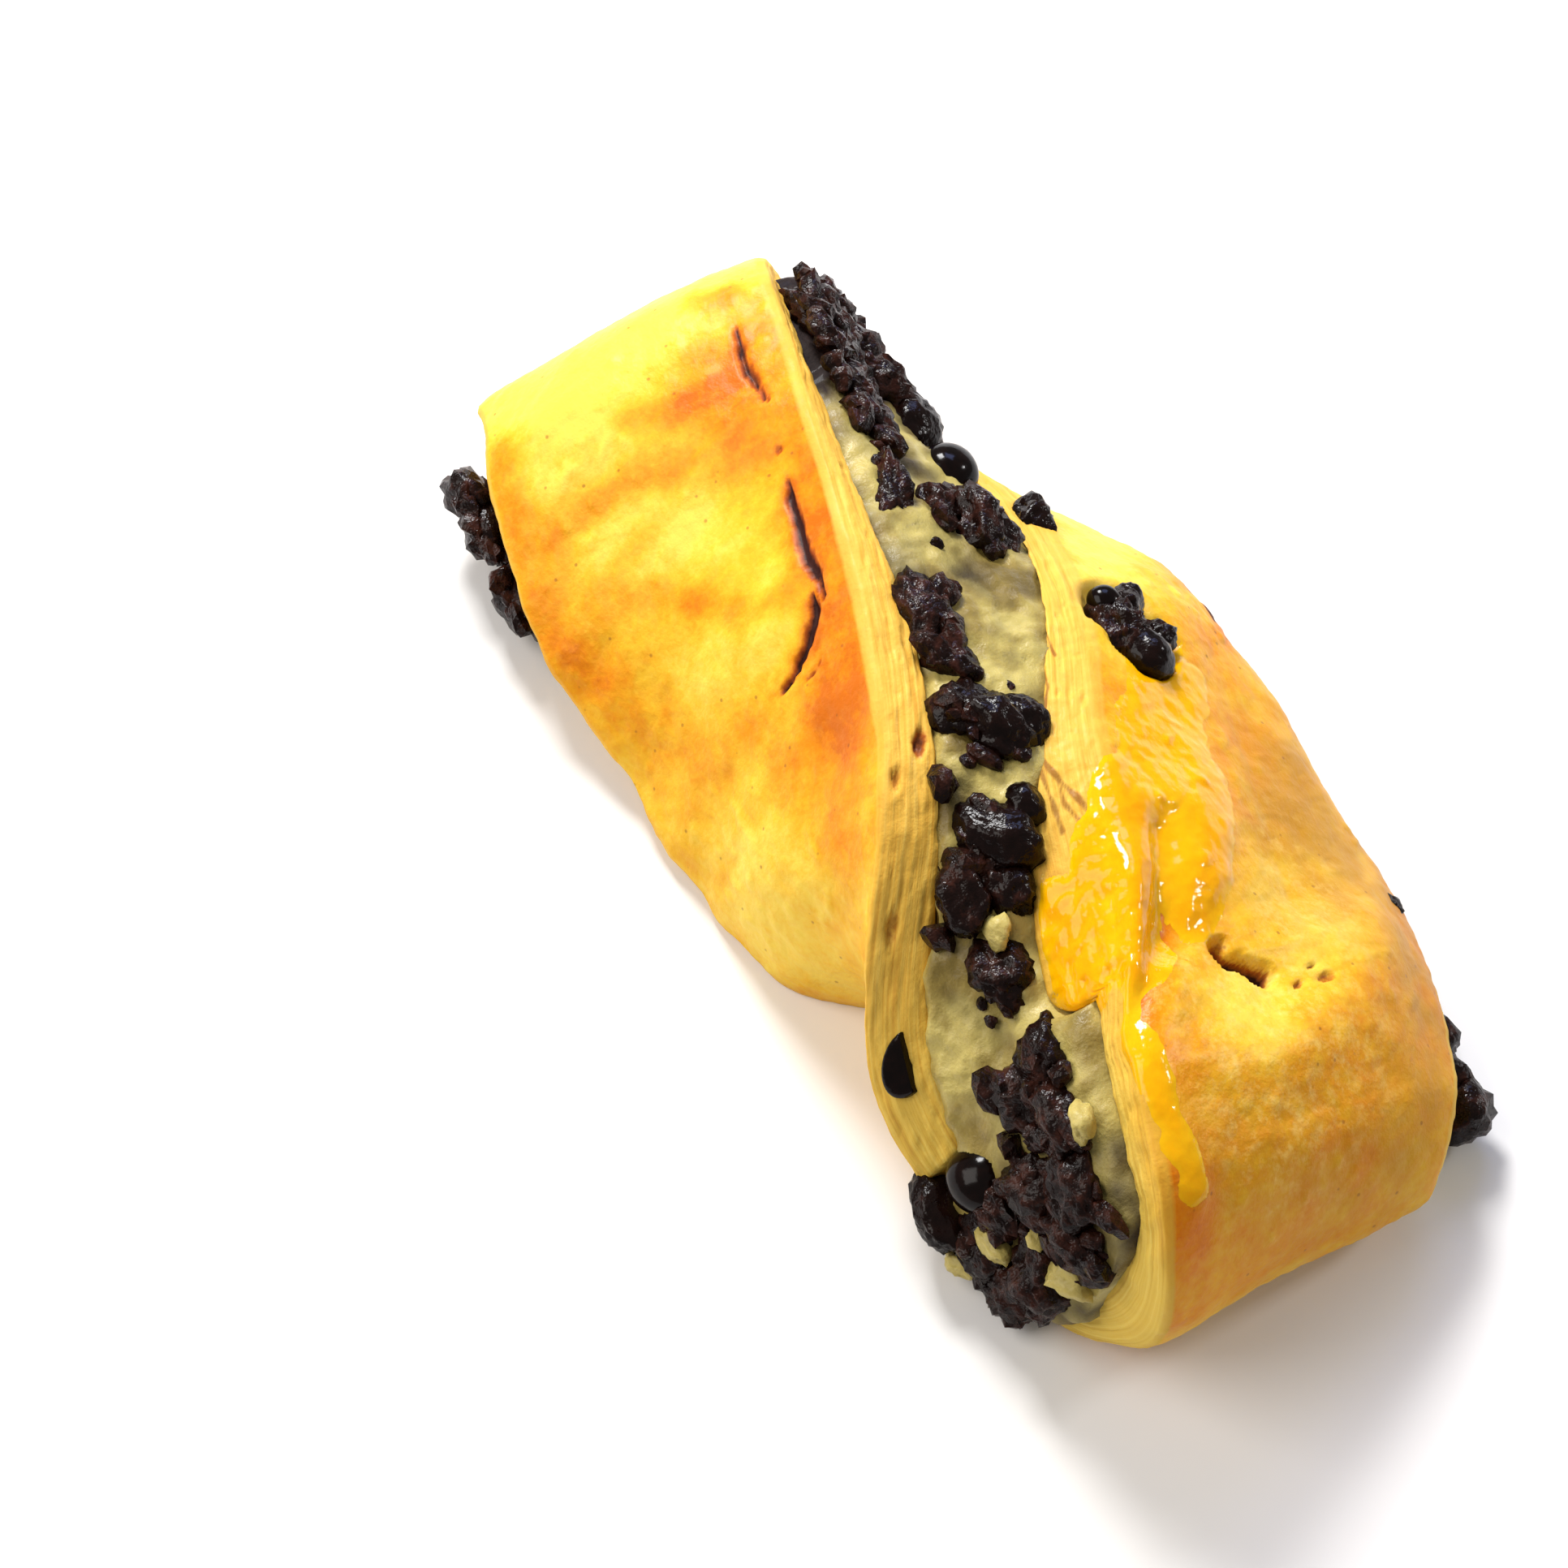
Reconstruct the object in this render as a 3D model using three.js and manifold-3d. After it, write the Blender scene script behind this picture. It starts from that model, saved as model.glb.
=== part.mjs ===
// A baked chocolate and custard twist, as sold singly in a bakery: 155 mm long.
// A sheet of laminated dough is folded round custard with chocolate chips, cut into a strip and
// given half a turn, so that the cut side with the filling faces right at one end, up in the middle
// and left at the other. It lies on its baked underside, on z = 0, with its length along X.
// Two solids: the dough, one bent strip, and the custard with its chips, which runs through it.
// The numbers below are measured from a point near the middle, and the group is then moved so that
// the origin is under the middle of the whole piece.
// Units are millimetres, +Z is up.

import * as THREE from 'three';
import { mergeVertices } from 'three/addons/utils/BufferGeometryUtils.js';
import Module from 'manifold-3d';

const wasm = await Module();
wasm.setup();

// ---------------------------------------------------------------- driving dimensions

// The strip's four long edges, each as [y, z] at stations STATION_STEP apart along X. The shown
// edges border the cut side that the buyer sees, the foot edges the other cut side. The upper layer
// is the one on top at the far end (-X), the lower layer the one that comes on top at the near end.
const FIRST_STATION = -80;
const STATION_STEP = 22;
const UPPER_SHOWN_EDGE = [
  [15, 32], [9, 36.5], [3, 40], [-4, 42], [-15, 39.5], [-27, 17], [-22, 4], [-14, 6]];
const LOWER_SHOWN_EDGE = [
  [22, 8], [25, 10], [29, 19], [25, 31], [14.5, 38.5], [5, 42], [-6, 41], [-12, 33]];
const LOWER_FOOT_EDGE = [
  [-20, 3], [4, 0], [28, 0.5], [43, 1.5], [46, 2.5], [46.5, 5], [40.5, 13], [27, 17]];
const UPPER_FOOT_EDGE = [
  [-28, 20], [-33, 15], [-33, 8], [-30.5, 3.5], [-24, 2], [8, 0], [24, 1], [26, 4]];
const HALF_WIDTH = 23;             // from the middle of the strip to a cut side

// How far each layer swells between its edges, how much more the lower one swells towards its foot,
// and how thick its dough is at the shown cut side.
const UPPER_SWELL = [3, 3, 3, 3, 3, 3, 2, 2];
const LOWER_SWELL = [2, 2, 8.5, 9, 6, 3, 3, 3];
const LOWER_FOOT_SWELL = [0, 0, 0, 0, 7, 7, 2, 0];
const UPPER_DOUGH = [5, 4.5, 4.5, 6.5, 8.5, 9, 7, 7];
const LOWER_DOUGH = [5.5, 5, 5, 6, 8, 7, 6.5, 7];
const MOST = 0.4;                  // no layer takes more than this share of the depth
const FOOT_DOUGH_SHARE = 0.32;     // dough at the foot edges, as a share of the strip's depth there
const RIM = 0.95;                  // share of the half-width where the rounding to a cut side starts
const ROUNDED = [0.16, 0.5, 0.86]; // shares of the dough's thickness at the points of a cut side

// The folds at the far and the near end: x where the dough starts to fold over, how far the fold
// reaches past that, how much further at the shown side and halfway between the cut sides, how much
// its corners are rounded off, and how thick the dough is round it.
const FAR_FOLD = { start: -70, side: 1, reach: 12.6, slant: -1.3, crown: 1, dough: 8 };
const NEAR_FOLD = { start: 59, side: -1, reach: 12, slant: 1.2, crown: -1.4, dough: 9.3 };
const FOLD_ROUNDING = 1.2;
const UPPER_END = 39.5;            // x where the upper layer stops short, so that filling shows

// The dough's outside rises and falls in two sets of soft waves: height and length along X.
const LONG_WAVE = [0.45, 9];
const SHORT_WAVE = [0.35, 5.5];

const LIP_FROM = 4;                // the glazed lip on the lower layer's shown edge: where it starts,
const LIP_FULL = 31.5;             // where it is whole,
const LIP_TO = 37.5;               // where it ends,
const LIP_ROUNDING = 5;            // rounded over this length,
const LIP_DEPTH = 7.5;             // how far it hangs over the filling,
const LIP_WIDTH = 0.3;             // and how much of the half-width it takes
const CREASE = [[45, 1.02], [35, 0.8], [22, 0.7]];   // [x, p] of the crease behind the lip
const CREASE_HALF_WIDTH = 2.6;
const CREASE_DEPTH = 1.8;
const PILLOW = [32, 40, 50, 62];   // the dough swells up again here: x of its start, full height from
const PILLOW_RISE = 1.6;           // and to, and its end
const PILLOW_MIDDLE = 0.25;        // p of its highest place
const LOWER_FADE = [-0.85, -0.35]; // crease and pillow fade out between these q, round the near fold

const FILLING_HALF_WIDTH_SHOWN = [1.16, 1.12, 1.05, 1.03, 1.03, 1.06, 1.1, 1.05];
const FILLING_HALF_WIDTH_FOOT = [1.28, 1.24, 1.08, 0.93, 0.93, 1.0, 1.2, 1.2];
const FILLING_CORNER = 0.24;       // the section's power: 1 is an ellipse, 0 a sharp box
const FILLING_NOSE = 2.5;          // it rounds off over this length in each fold,
const FILLING_BLUNT = 0.4;         // by this power: 1 is gradual, 0 a flat end
const OPEN_TOP = 0.96;             // q of its top where the upper layer has stopped short
const CLEARANCE = 0.5;             // between the filling and the dough
const OVERFILL = 0.7;              // the custard is made this much too big, and the dough cut out of it
const FLOOR_GAP = 0.35;            // the filling stays this far above the underside
const UNDERSIDE = 2.5;             // this much is baked flat

const CHIP = 8;                    // a whole chocolate chip's diameter,
const CHIP_STEP = 0.6;             // and by how much the next in a row is smaller
const CHIP_FLATTER = 0.85;
const SUNK = 0.28;                 // share of its diameter that a chip's middle lies below the crust
const SHOWN_CHIPS_IN = 0.05;       // share of the half-width that chips' middles lie in the custard
const FOOT_CHIPS_OUT = 0.08;       // or stand out of it at the foot side
const FOOT_CHIP_LONGER = 1.15;

// Chips on the shown cut side: [x, q, diameter, length over width].
// q runs from -1 at the lower layer's outside to +1 at the upper layer's.
const SHOWN_CHIPS = [
  [-69.5, 0.5, 8, 1.2], [-70.5, -0.1, 9, 1.2], [-69, -0.5, 8.5, 1.2], [-65, 0.45, 9, 1.4],
  [-64, -0.25, 9.5, 1.2], [-59, 0.35, 8.5, 1.4], [-57, -0.25, 9.5, 1.3], [-50, -0.5, 9, 1.1],
  [-48, 0.3, 7.5, 1.7], [-40, -0.45, 8, 1], [-34, 0.45, 6.5, 1.9], [-31, -0.08, 8.5, 1.2],
  [-26.5, -0.33, 10, 1.2], [-14.5, 0.48, 6.5, 1.9], [-8, 0.3, 6.5, 1.4], [-1, 0.25, 8, 1.2],
  [2, -0.02, 9.5, 1.2], [3, -0.3, 7, 1.1], [13, -0.3, 6, 1], [14.5, -0.05, 9, 1.3],
  [18, 0.18, 8.5, 1.3], [20, -0.12, 7.5, 1.2], [28, -0.08, 8, 1.2], [39, -0.3, 8.5, 1.1],
  [42, -0.15, 9, 1.2], [46.5, -0.3, 9, 1.3], [44, 0.52, 8.5, 1], [50, 0.05, 10, 1.2],
  [53.5, -0.3, 9, 1.2], [57, 0.02, 9.5, 1.2], [49.5, 0.72, 9, 1.1], [55.5, 0.5, 10, 1.2],
  [55.5, 0.9, 8, 1.1], [43, 0.95, 7, 1.6]];
// Chips on the other cut side, where it shows at the two ends: [from x, to x, how many, q].
const FOOT_CHIP_ROWS = [[-73, -45, 6, 0.45], [41, 61, 5, -0.15]];
// Chips that break through the lower layer's face: [x, p, diameter].
const FACE_CHIPS = [
  [-31, 0.7, 7.5], [-14, 0.46, 5.5], [-10.5, 0.58, 7.5], [-8.5, 0.4, 5.5], [-5.5, 0.48, 8],
  [34, -0.82, 6]];
// The chip that the knife went through, in the upper layer's cut side: [x, p, q, diameter].
const CUT_CHIP = [29, 0.93, 0.7, 5];

const MIDDLE = [-6.35, 6.35];      // [x, y] of the middle of the whole piece, which becomes the origin

const ROWS_ACROSS = 13;            // faces: points from cut side to cut side on the outside,
const ROWS_INSIDE = 8;             // and on the inside
const STEP_ALONG = 4.2;            // and the step along the strip
const FOLD_STEPS = 9;
const LIP_END_STOPS = [0, 0.5, 0.8, 0.95, 1];   // shares of the rounding at the lip's end
const FILLING_ROW = 26;

const BAKED = new THREE.MeshStandardMaterial({ color: 0xe0a248, roughness: 0.55, metalness: 0 });
const CUSTARD = new THREE.MeshStandardMaterial({ color: 0xc9b874, roughness: 0.4, metalness: 0 });

// ---------------------------------------------------------------- the strip's form

// A smooth curve through equally spaced stations, for numbers or [y, z] pairs.
function along(stations, x) {
  const last = stations.length - 1;
  const s = THREE.MathUtils.clamp((x - FIRST_STATION) / STATION_STEP, -0.3, last + 0.3);
  const i = THREE.MathUtils.clamp(Math.floor(s), 0, last - 1);
  const f = s - i;
  const blend = (a, b, c, d) =>
    0.5 * (2 * b + (c - a) * f + (2 * a - 5 * b + 4 * c - d) * f * f + (3 * b - a - 3 * c + d) * f * f * f);
  const value = (k, n) => {
    const item = (j) => (n === null ? stations[j] : stations[j][n]);
    if (k < 0) return 2 * item(0) - item(1);
    if (k > last) return 2 * item(last) - item(last - 1);
    return item(k);
  };
  const component = (n) => blend(value(i - 1, n), value(i, n), value(i + 1, n), value(i + 2, n));
  return Array.isArray(stations[0]) ? [component(0), component(1)] : component(null);
}

const mix = (a, b, t) => a + (b - a) * t;
const rise = (from, to, v) => THREE.MathUtils.smoothstep(v, from, to);
const fall = (from, to, v) => 1 - THREE.MathUtils.smoothstep(v, from, to);

// The two faces of the strip at x and p, where p runs from -1 at the foot edges to +1 at the shown
// edges: [y, z] on the upper and the lower layer's outside, and the direction across the strip.
function facesAt(x, p) {
  const share = (p + 1) / 2;
  const between = (foot, shown) => {
    const a = along(foot, x);
    const b = along(shown, x);
    return new THREE.Vector2(mix(a[0], b[0], share), mix(a[1], b[1], share));
  };
  const upper = between(UPPER_FOOT_EDGE, UPPER_SHOWN_EDGE);
  const lower = between(LOWER_FOOT_EDGE, LOWER_SHOWN_EDGE);
  const across = upper.clone().sub(lower).normalize();
  const bow = 1 - p * p;
  const low = along(LOWER_SWELL, x) + along(LOWER_FOOT_SWELL, x) * Math.max(-p, 0);
  upper.addScaledVector(across, along(UPPER_SWELL, x) * bow);
  lower.addScaledVector(across, -low * bow);
  return { upper, lower, across, depth: upper.distanceTo(lower) };
}

// A point of the strip: q runs from -1 on the lower layer's outside to +1 on the upper layer's, and
// proud moves the point outwards from whichever layer is nearer.
function pointAt(x, p, q, proud = 0, floor = 0) {
  const { upper, lower, across } = facesAt(x, p);
  const at = lower.clone().lerp(upper, (q + 1) / 2).addScaledVector(across, Math.sign(q) * proud);
  return new THREE.Vector3(x, at.x, Math.max(at.y - UNDERSIDE, floor));
}

// ---------------------------------------------------------------- the dough

function distanceToCrease(x, p) {
  const onFace = ([a, b]) => new THREE.Vector3(a, b * HALF_WIDTH, 0);
  const here = onFace([x, p]);
  let nearest = Infinity;
  for (let i = 0; i + 1 < CREASE.length; i++) {
    const line = new THREE.Line3(onFace(CREASE[i]), onFace(CREASE[i + 1]));
    nearest = Math.min(nearest, line.closestPointToPoint(here, true, new THREE.Vector3()).distanceTo(here));
  }
  return nearest;
}

// The dough's outside rises and falls softly, with a crease and a pillow on the lower layer.
function relief(x, p, q) {
  const [high, long] = LONG_WAVE;
  const [low, short] = SHORT_WAVE;
  const waves = high * Math.sin(x / long + 2 * p + 3 * q) + low * Math.sin(x / short - 3.1 * p + q);
  const onLower = fall(...LOWER_FADE, q);
  const groove = CREASE_DEPTH * Math.exp(-((distanceToCrease(x, p) / CREASE_HALF_WIDTH) ** 2));
  const lengthwise = rise(PILLOW[0], PILLOW[1], x) * fall(PILLOW[2], PILLOW[3], x);
  const pillow = PILLOW_RISE * lengthwise * Math.max(0, 1 - (p - PILLOW_MIDDLE) ** 2);
  return waves + onLower * (pillow - groove);
}

// Dough thickness across the strip on one layer: thin at the shown edge, deep at the foot.
function thicknessAt(x, p, q, grow = 0) {
  const { depth } = facesAt(x, p);
  const shown = along(q > 0 ? UPPER_DOUGH : LOWER_DOUGH, x);
  let thickness = mix(FOOT_DOUGH_SHARE * depth, shown, (p + 1) / 2);
  if (q < 0) {
    const past = THREE.MathUtils.clamp((x - LIP_TO - grow) / LIP_ROUNDING + 1, 0, 1);
    const lengthwise = rise(LIP_FROM, LIP_FULL, x) * Math.sqrt(1 - past * past);
    thickness += LIP_DEPTH * lengthwise * rise(1 - LIP_WIDTH, 1 - LIP_WIDTH / 3, p);
  }
  return Math.min(thickness, MOST * depth);
}

// The stops along the dough's folded length, from the upper layer's end round both folds. Each
// gives the outside and inside point at any p. All of it is thicker by grow.
function doughStops(grow) {
  const stops = [];
  const flat = (x, q) => stops.push((p, inner) => {
    const inward = inner ? thicknessAt(x, p, q, grow) + grow : 0;
    const q0 = q * (1 - (2 * inward) / facesAt(x, p).depth);
    return pointAt(x, p, q0, inner ? 0 : relief(x, p, q) + grow, -grow);
  });
  const run = (from, to, q) => {
    const count = Math.round(Math.abs(to - from) / STEP_ALONG);
    for (let i = 0; i <= count; i++) flat(mix(from, to, i / count), q);
  };
  const fold = ({ start, side, reach, slant, crown, dough }) => {
    for (let i = 1; i < FOLD_STEPS; i++) {
      const turn = Math.PI * (i / FOLD_STEPS) + (i === FOLD_STEPS - 1 ? grow / reach : 0);
      const q = side * Math.cos(turn);
      stops.push((p, inner) => {
        const out = reach + crown * (1 - p * p) + slant * p - FOLD_ROUNDING * Math.abs(p) ** 10;
        const { depth } = facesAt(start, p);
        const flatWall = thicknessAt(start, p, Math.sign(q) || 1);
        const wall = Math.min(mix(flatWall, dough, Math.sin(turn)), MOST * depth);
        const x = start - side * (out - (inner ? wall + grow : -grow)) * Math.sin(turn);
        const share = inner ? 1 - (2 * (wall + grow)) / depth : 1;
        const proud = inner ? 0 : Math.abs(q) * (relief(start, p, q) + grow);
        return pointAt(x, p, q * share, proud, -grow);
      });
    }
  };
  run(UPPER_END + grow, FAR_FOLD.start, 1);
  fold(FAR_FOLD);
  run(FAR_FOLD.start, LIP_TO - LIP_ROUNDING - STEP_ALONG, -1);
  for (const share of LIP_END_STOPS) flat(LIP_TO + grow - LIP_ROUNDING * (1 - share), -1);
  run(LIP_TO + STEP_ALONG / 2, NEAR_FOLD.start, -1);
  fold(NEAR_FOLD);
  return stops;
}

// One ring of points round the dough's section: outside, cut side, inside, other cut side.
function doughRing(stop, grow) {
  const edge = 1 + grow / HALF_WIDTH;
  const row = (count, from, to, inner) =>
    Array.from({ length: count }, (_, i) => stop(RIM * mix(from, to, i / (count - 1)), inner));
  const side = (p, shares) => shares.map((deep) => stop(p, false).lerp(stop(p, true), deep));
  return [
    ...row(ROWS_ACROSS, -1, 1, false), ...side(edge, ROUNDED),
    ...row(ROWS_INSIDE, 1, -1, true), ...side(-edge, ROUNDED.toReversed())];
}

// A closed body through rings of equally many points, with fans over the first and last ring.
function bodyThrough(rings) {
  const count = rings[0].length;
  const positions = [];
  for (const ring of rings) for (const point of ring) positions.push(point.x, point.y, point.z);
  const index = [];
  for (let r = 0; r + 1 < rings.length; r++) {
    for (let i = 0; i < count; i++) {
      const a = r * count + i;
      const b = r * count + ((i + 1) % count);
      index.push(a, b, a + count, b, b + count, a + count);
    }
  }
  for (const r of [0, rings.length - 1]) {
    const middle = new THREE.Vector3();
    for (const point of rings[r]) middle.addScaledVector(point, 1 / count);
    const hub = positions.length / 3;
    positions.push(middle.x, middle.y, middle.z);
    for (let i = 0; i < count; i++) {
      const a = r * count + i;
      const b = r * count + ((i + 1) % count);
      index.push(...(r === 0 ? [hub, b, a] : [hub, a, b]));
    }
  }
  const geometry = new THREE.BufferGeometry();
  geometry.setAttribute('position', new THREE.Float32BufferAttribute(positions, 3));
  geometry.setIndex(index);
  return geometry;
}

function signedVolume(geometry) {
  const at = geometry.getAttribute('position');
  const index = geometry.getIndex();
  const [a, b, c] = [new THREE.Vector3(), new THREE.Vector3(), new THREE.Vector3()];
  let volume = 0;
  for (let i = 0; i < index.count; i += 3) {
    a.fromBufferAttribute(at, index.getX(i));
    b.fromBufferAttribute(at, index.getX(i + 1));
    c.fromBufferAttribute(at, index.getX(i + 2));
    volume += a.dot(b.cross(c)) / 6;
  }
  return volume;
}

function solidFrom(geometry) {
  const bare = geometry.clone();
  bare.deleteAttribute('normal');
  bare.deleteAttribute('uv');
  const merged = mergeVertices(bare, 1e-4);
  const index = Uint32Array.from(merged.getIndex().array);
  if (signedVolume(merged) < 0) {
    for (let i = 0; i < index.length; i += 3) [index[i + 1], index[i + 2]] = [index[i + 2], index[i + 1]];
  }
  const vertProperties = Float32Array.from(merged.getAttribute('position').array);
  return new wasm.Manifold(new wasm.Mesh({ numProp: 3, vertProperties, triVerts: index }));
}

function geometryFrom(solid) {
  const mesh = solid.getMesh();
  const geometry = new THREE.BufferGeometry();
  geometry.setAttribute('position', new THREE.Float32BufferAttribute(mesh.vertProperties, 3));
  geometry.setIndex(Array.from(mesh.triVerts));
  geometry.computeVertexNormals();
  return geometry;
}

const doughSolid = (grow) => solidFrom(bodyThrough(doughStops(grow).map((stop) => doughRing(stop, grow))));

// ---------------------------------------------------------------- chips and filling

// The middle of a chip in the filling, which keeps clear of the underside.
const chipCentre = (x, p, q, diameter, longer) =>
  pointAt(x, p, q, 0, (diameter * longer) / 2 + FLOOR_GAP);

// A chip is a squashed ball, rolled about the strip's length and leaning a little off it.
function chipSolid(centre, diameter, longer, seed) {
  const geometry = new THREE.IcosahedronGeometry(diameter / 2, 1);
  geometry.scale(longer, 1, CHIP_FLATTER);
  geometry.rotateX(1.7 * seed);
  geometry.rotateZ(0.5 * Math.sin(2.4 * seed));
  geometry.translate(centre.x, centre.y, centre.z);
  return solidFrom(geometry);
}

function fillingCore() {
  const from = FAR_FOLD.start - FAR_FOLD.reach + FAR_FOLD.dough - OVERFILL;
  const to = NEAR_FOLD.start + NEAR_FOLD.reach - NEAR_FOLD.dough + OVERFILL;
  const count = Math.round((to - from) / STEP_ALONG);
  const boxy = (v) => Math.sign(v) * Math.abs(v) ** FILLING_CORNER;
  const rings = [];
  for (let r = 0; r <= count; r++) {
    const level = mix(from, to, r / count);
    const nose = rise(-1, FILLING_NOSE, level - from) * rise(-1, FILLING_NOSE, to - level);
    const taper = nose ** FILLING_BLUNT;
    const open = rise(UPPER_END - 0.5, UPPER_END + STEP_ALONG, level);
    const ring = [];
    for (let i = 0; i < FILLING_ROW; i++) {
      const angle = (2 * Math.PI * i) / FILLING_ROW;
      const side = boxy(Math.cos(angle));
      const p = side * along(side > 0 ? FILLING_HALF_WIDTH_SHOWN : FILLING_HALF_WIDTH_FOOT, level);
      const inDough = THREE.MathUtils.clamp(p, -1, 1);
      const x = level + NEAR_FOLD.slant * inDough * (r / count);
      const { depth } = facesAt(x, inDough);
      const lowest = -1 + (2 * (thicknessAt(x, inDough, -1) - OVERFILL)) / depth;
      const highest = mix(1 - (2 * (thicknessAt(x, inDough, 1) - OVERFILL)) / depth, OPEN_TOP, open);
      const q = (lowest + highest) / 2 + ((highest - lowest) / 2) * taper * boxy(Math.sin(angle));
      ring.push(pointAt(x, p, q, 0, FLOOR_GAP));
    }
    rings.push(ring);
  }
  return solidFrom(bodyThrough(rings));
}

function fillingSolid() {
  const pieces = [fillingCore()];
  SHOWN_CHIPS.forEach(([x, q, diameter, longer], i) => {
    const p = along(FILLING_HALF_WIDTH_SHOWN, x) - SHOWN_CHIPS_IN;
    pieces.push(chipSolid(chipCentre(x, p, q, diameter, longer), diameter, longer, i));
  });
  FOOT_CHIP_ROWS.forEach(([from, to, count, q]) => {
    for (let i = 0; i < count; i++) {
      const x = mix(from, to, i / (count - 1));
      const p = -along(FILLING_HALF_WIDTH_FOOT, x) - FOOT_CHIPS_OUT;
      const diameter = CHIP - CHIP_STEP * (i % 3);
      const centre = chipCentre(x, p, q + 0.25 * Math.sin(2.6 * i), diameter, FOOT_CHIP_LONGER);
      pieces.push(chipSolid(centre, diameter, FOOT_CHIP_LONGER, 40 + i));
    }
  });
  const joined = wasm.Manifold.union(pieces).subtract(doughWithChips(CLEARANCE));
  return joined.decompose().sort((a, b) => b.volume() - a.volume())[0];
}

// The dough with the chips that break through it, all of it thicker by grow.
function doughWithChips(grow) {
  const chips = FACE_CHIPS.map(([x, p, diameter], i) =>
    chipSolid(pointAt(x, p, -1, -SUNK * diameter), diameter + 2 * grow, 1.1, 60 + i));
  const [x, p, q, diameter] = CUT_CHIP;
  chips.push(chipSolid(pointAt(x, p, q), diameter + 2 * grow, 1.3, 0));
  return wasm.Manifold.union([doughSolid(grow), ...chips]);
}

function pieceNamed(name, solid, material) {
  const mesh = new THREE.Mesh(geometryFrom(solid), material);
  mesh.name = name;
  return mesh;
}

const twist = new THREE.Group();
twist.position.set(-MIDDLE[0], -MIDDLE[1], 0);
twist.add(pieceNamed('dough', doughWithChips(0), BAKED));
twist.add(pieceNamed('custard_with_chips', fillingSolid(), CUSTARD));

export default twist;
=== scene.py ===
import math

import bmesh
import bpy
import numpy as np
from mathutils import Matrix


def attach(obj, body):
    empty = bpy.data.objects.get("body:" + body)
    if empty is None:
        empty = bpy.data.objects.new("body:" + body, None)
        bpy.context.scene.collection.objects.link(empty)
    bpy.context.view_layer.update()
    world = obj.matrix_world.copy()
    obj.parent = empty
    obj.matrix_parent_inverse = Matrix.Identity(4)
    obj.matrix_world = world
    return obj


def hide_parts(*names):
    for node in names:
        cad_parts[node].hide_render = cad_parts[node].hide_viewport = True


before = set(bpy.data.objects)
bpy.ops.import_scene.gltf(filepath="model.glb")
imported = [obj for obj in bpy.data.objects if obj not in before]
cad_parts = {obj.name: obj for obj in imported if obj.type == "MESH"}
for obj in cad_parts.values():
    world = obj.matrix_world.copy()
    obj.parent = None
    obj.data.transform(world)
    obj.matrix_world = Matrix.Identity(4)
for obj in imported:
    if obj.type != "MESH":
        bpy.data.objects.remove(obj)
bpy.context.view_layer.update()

MM = 0.001

# ---- the strip's measured form

# At eight stations along x: y and z of both layers' edges on the shown side and on the foot side,
# how far each layer swells between its edges, and how thick its dough is. p runs from -1 on the
# foot side to +1 on the shown side.
FIRST_STATION = -80
STATION_STEP = 22
UPPER_SHOWN_EDGE = [(15, 32), (9, 36.5), (3, 40), (-4, 42), (-15, 39.5), (-27, 17), (-22, 4), (-14, 6)]
LOWER_SHOWN_EDGE = [(22, 8), (25, 10), (29, 19), (25, 31), (14.5, 38.5), (5, 42), (-6, 41), (-12, 33)]
LOWER_FOOT_EDGE = [(-20, 3), (4, 0), (28, 0.5), (43, 1.5), (46, 2.5), (46.5, 5), (40.5, 13), (27, 17)]
UPPER_FOOT_EDGE = [(-28, 20), (-33, 15), (-33, 8), (-30.5, 3.5), (-24, 2), (8, 0), (24, 1), (26, 4)]
UPPER_SWELL = [3, 3, 3, 3, 3, 3, 2, 2]
LOWER_SWELL = [2, 2, 8.5, 9, 6, 3, 3, 3]
LOWER_FOOT_SWELL = [0, 0, 0, 0, 7, 7, 2, 0]
UPPER_DOUGH = [5, 4.5, 4.5, 6.5, 8.5, 9, 7, 7]
LOWER_DOUGH = [5.5, 5, 5, 6, 8, 7, 6.5, 7]
MOST = 0.4               # of the depth that either layer's dough may take
FOOT_DOUGH_SHARE = 0.32
MIDDLE = (-6.35, 6.35)   # of the strip in x and y, which goes to the frame's origin
UNDERSIDE = 2.5          # cut off flat below, so that it lies still

FAR_FOLD_START = -70
NEAR_FOLD_START = 59
FAR_FOLD_REACH = 12.6
FAR_FOLD_SLANT = -1.3
FAR_FOLD_CROWN = 1
NEAR_FOLD_REACH = 12
NEAR_FOLD_SLANT = 1.2
NEAR_FOLD_CROWN = -1.4
FOLD_ROUNDING = 1.2
FAR_FOLD_DOUGH = 8
NEAR_FOLD_DOUGH = 9.3
UPPER_END = 39.5

LIP_FROM = 4
LIP_TO = 37.5
LIP_DEPTH = 7.5
LIP_WIDTH = 0.3
LIP_END_ROUNDING = 5
CREASE = [(45, 1.02), (35, 0.8), (22, 0.7)]
CREASE_HALF_WIDTH = 2.4
CREASE_DEPTH = 2.0
PILLOW_RISE = 1.6
HALF_WIDTH = 23          # of the strip, which turns p into millimetres

FILLING_HALF_WIDTH_SHOWN = [1.16, 1.12, 1.05, 1.03, 1.03, 1.06, 1.1, 1.05]
FILLING_HALF_WIDTH_FOOT = [1.28, 1.24, 1.08, 0.93, 0.93, 1.0, 1.2, 1.2]
FILLING_CORNER = 0.24
OVERFILL = 0.7
FLOOR_GAP = 0.35

RIM = 0.945              # of p: the faces end here, and the rounded cut sides begin
STEP = 0.5
FINE_STEP = 0.28      # where thin smears and the torn hole are
FINE_FROM, FINE_TO = -13, 46
CUT_STEP = 0.25       # through the thickness of the cut sides
GLAZE_STEP = 0.32


def mix(a, b, share):
    return a + (b - a) * share


def rise(start, end, value):
    """0 before start, 1 after end and smooth between."""
    share = np.clip((value - start) / (end - start), 0, 1)
    return share * share * (3 - 2 * share)


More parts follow.
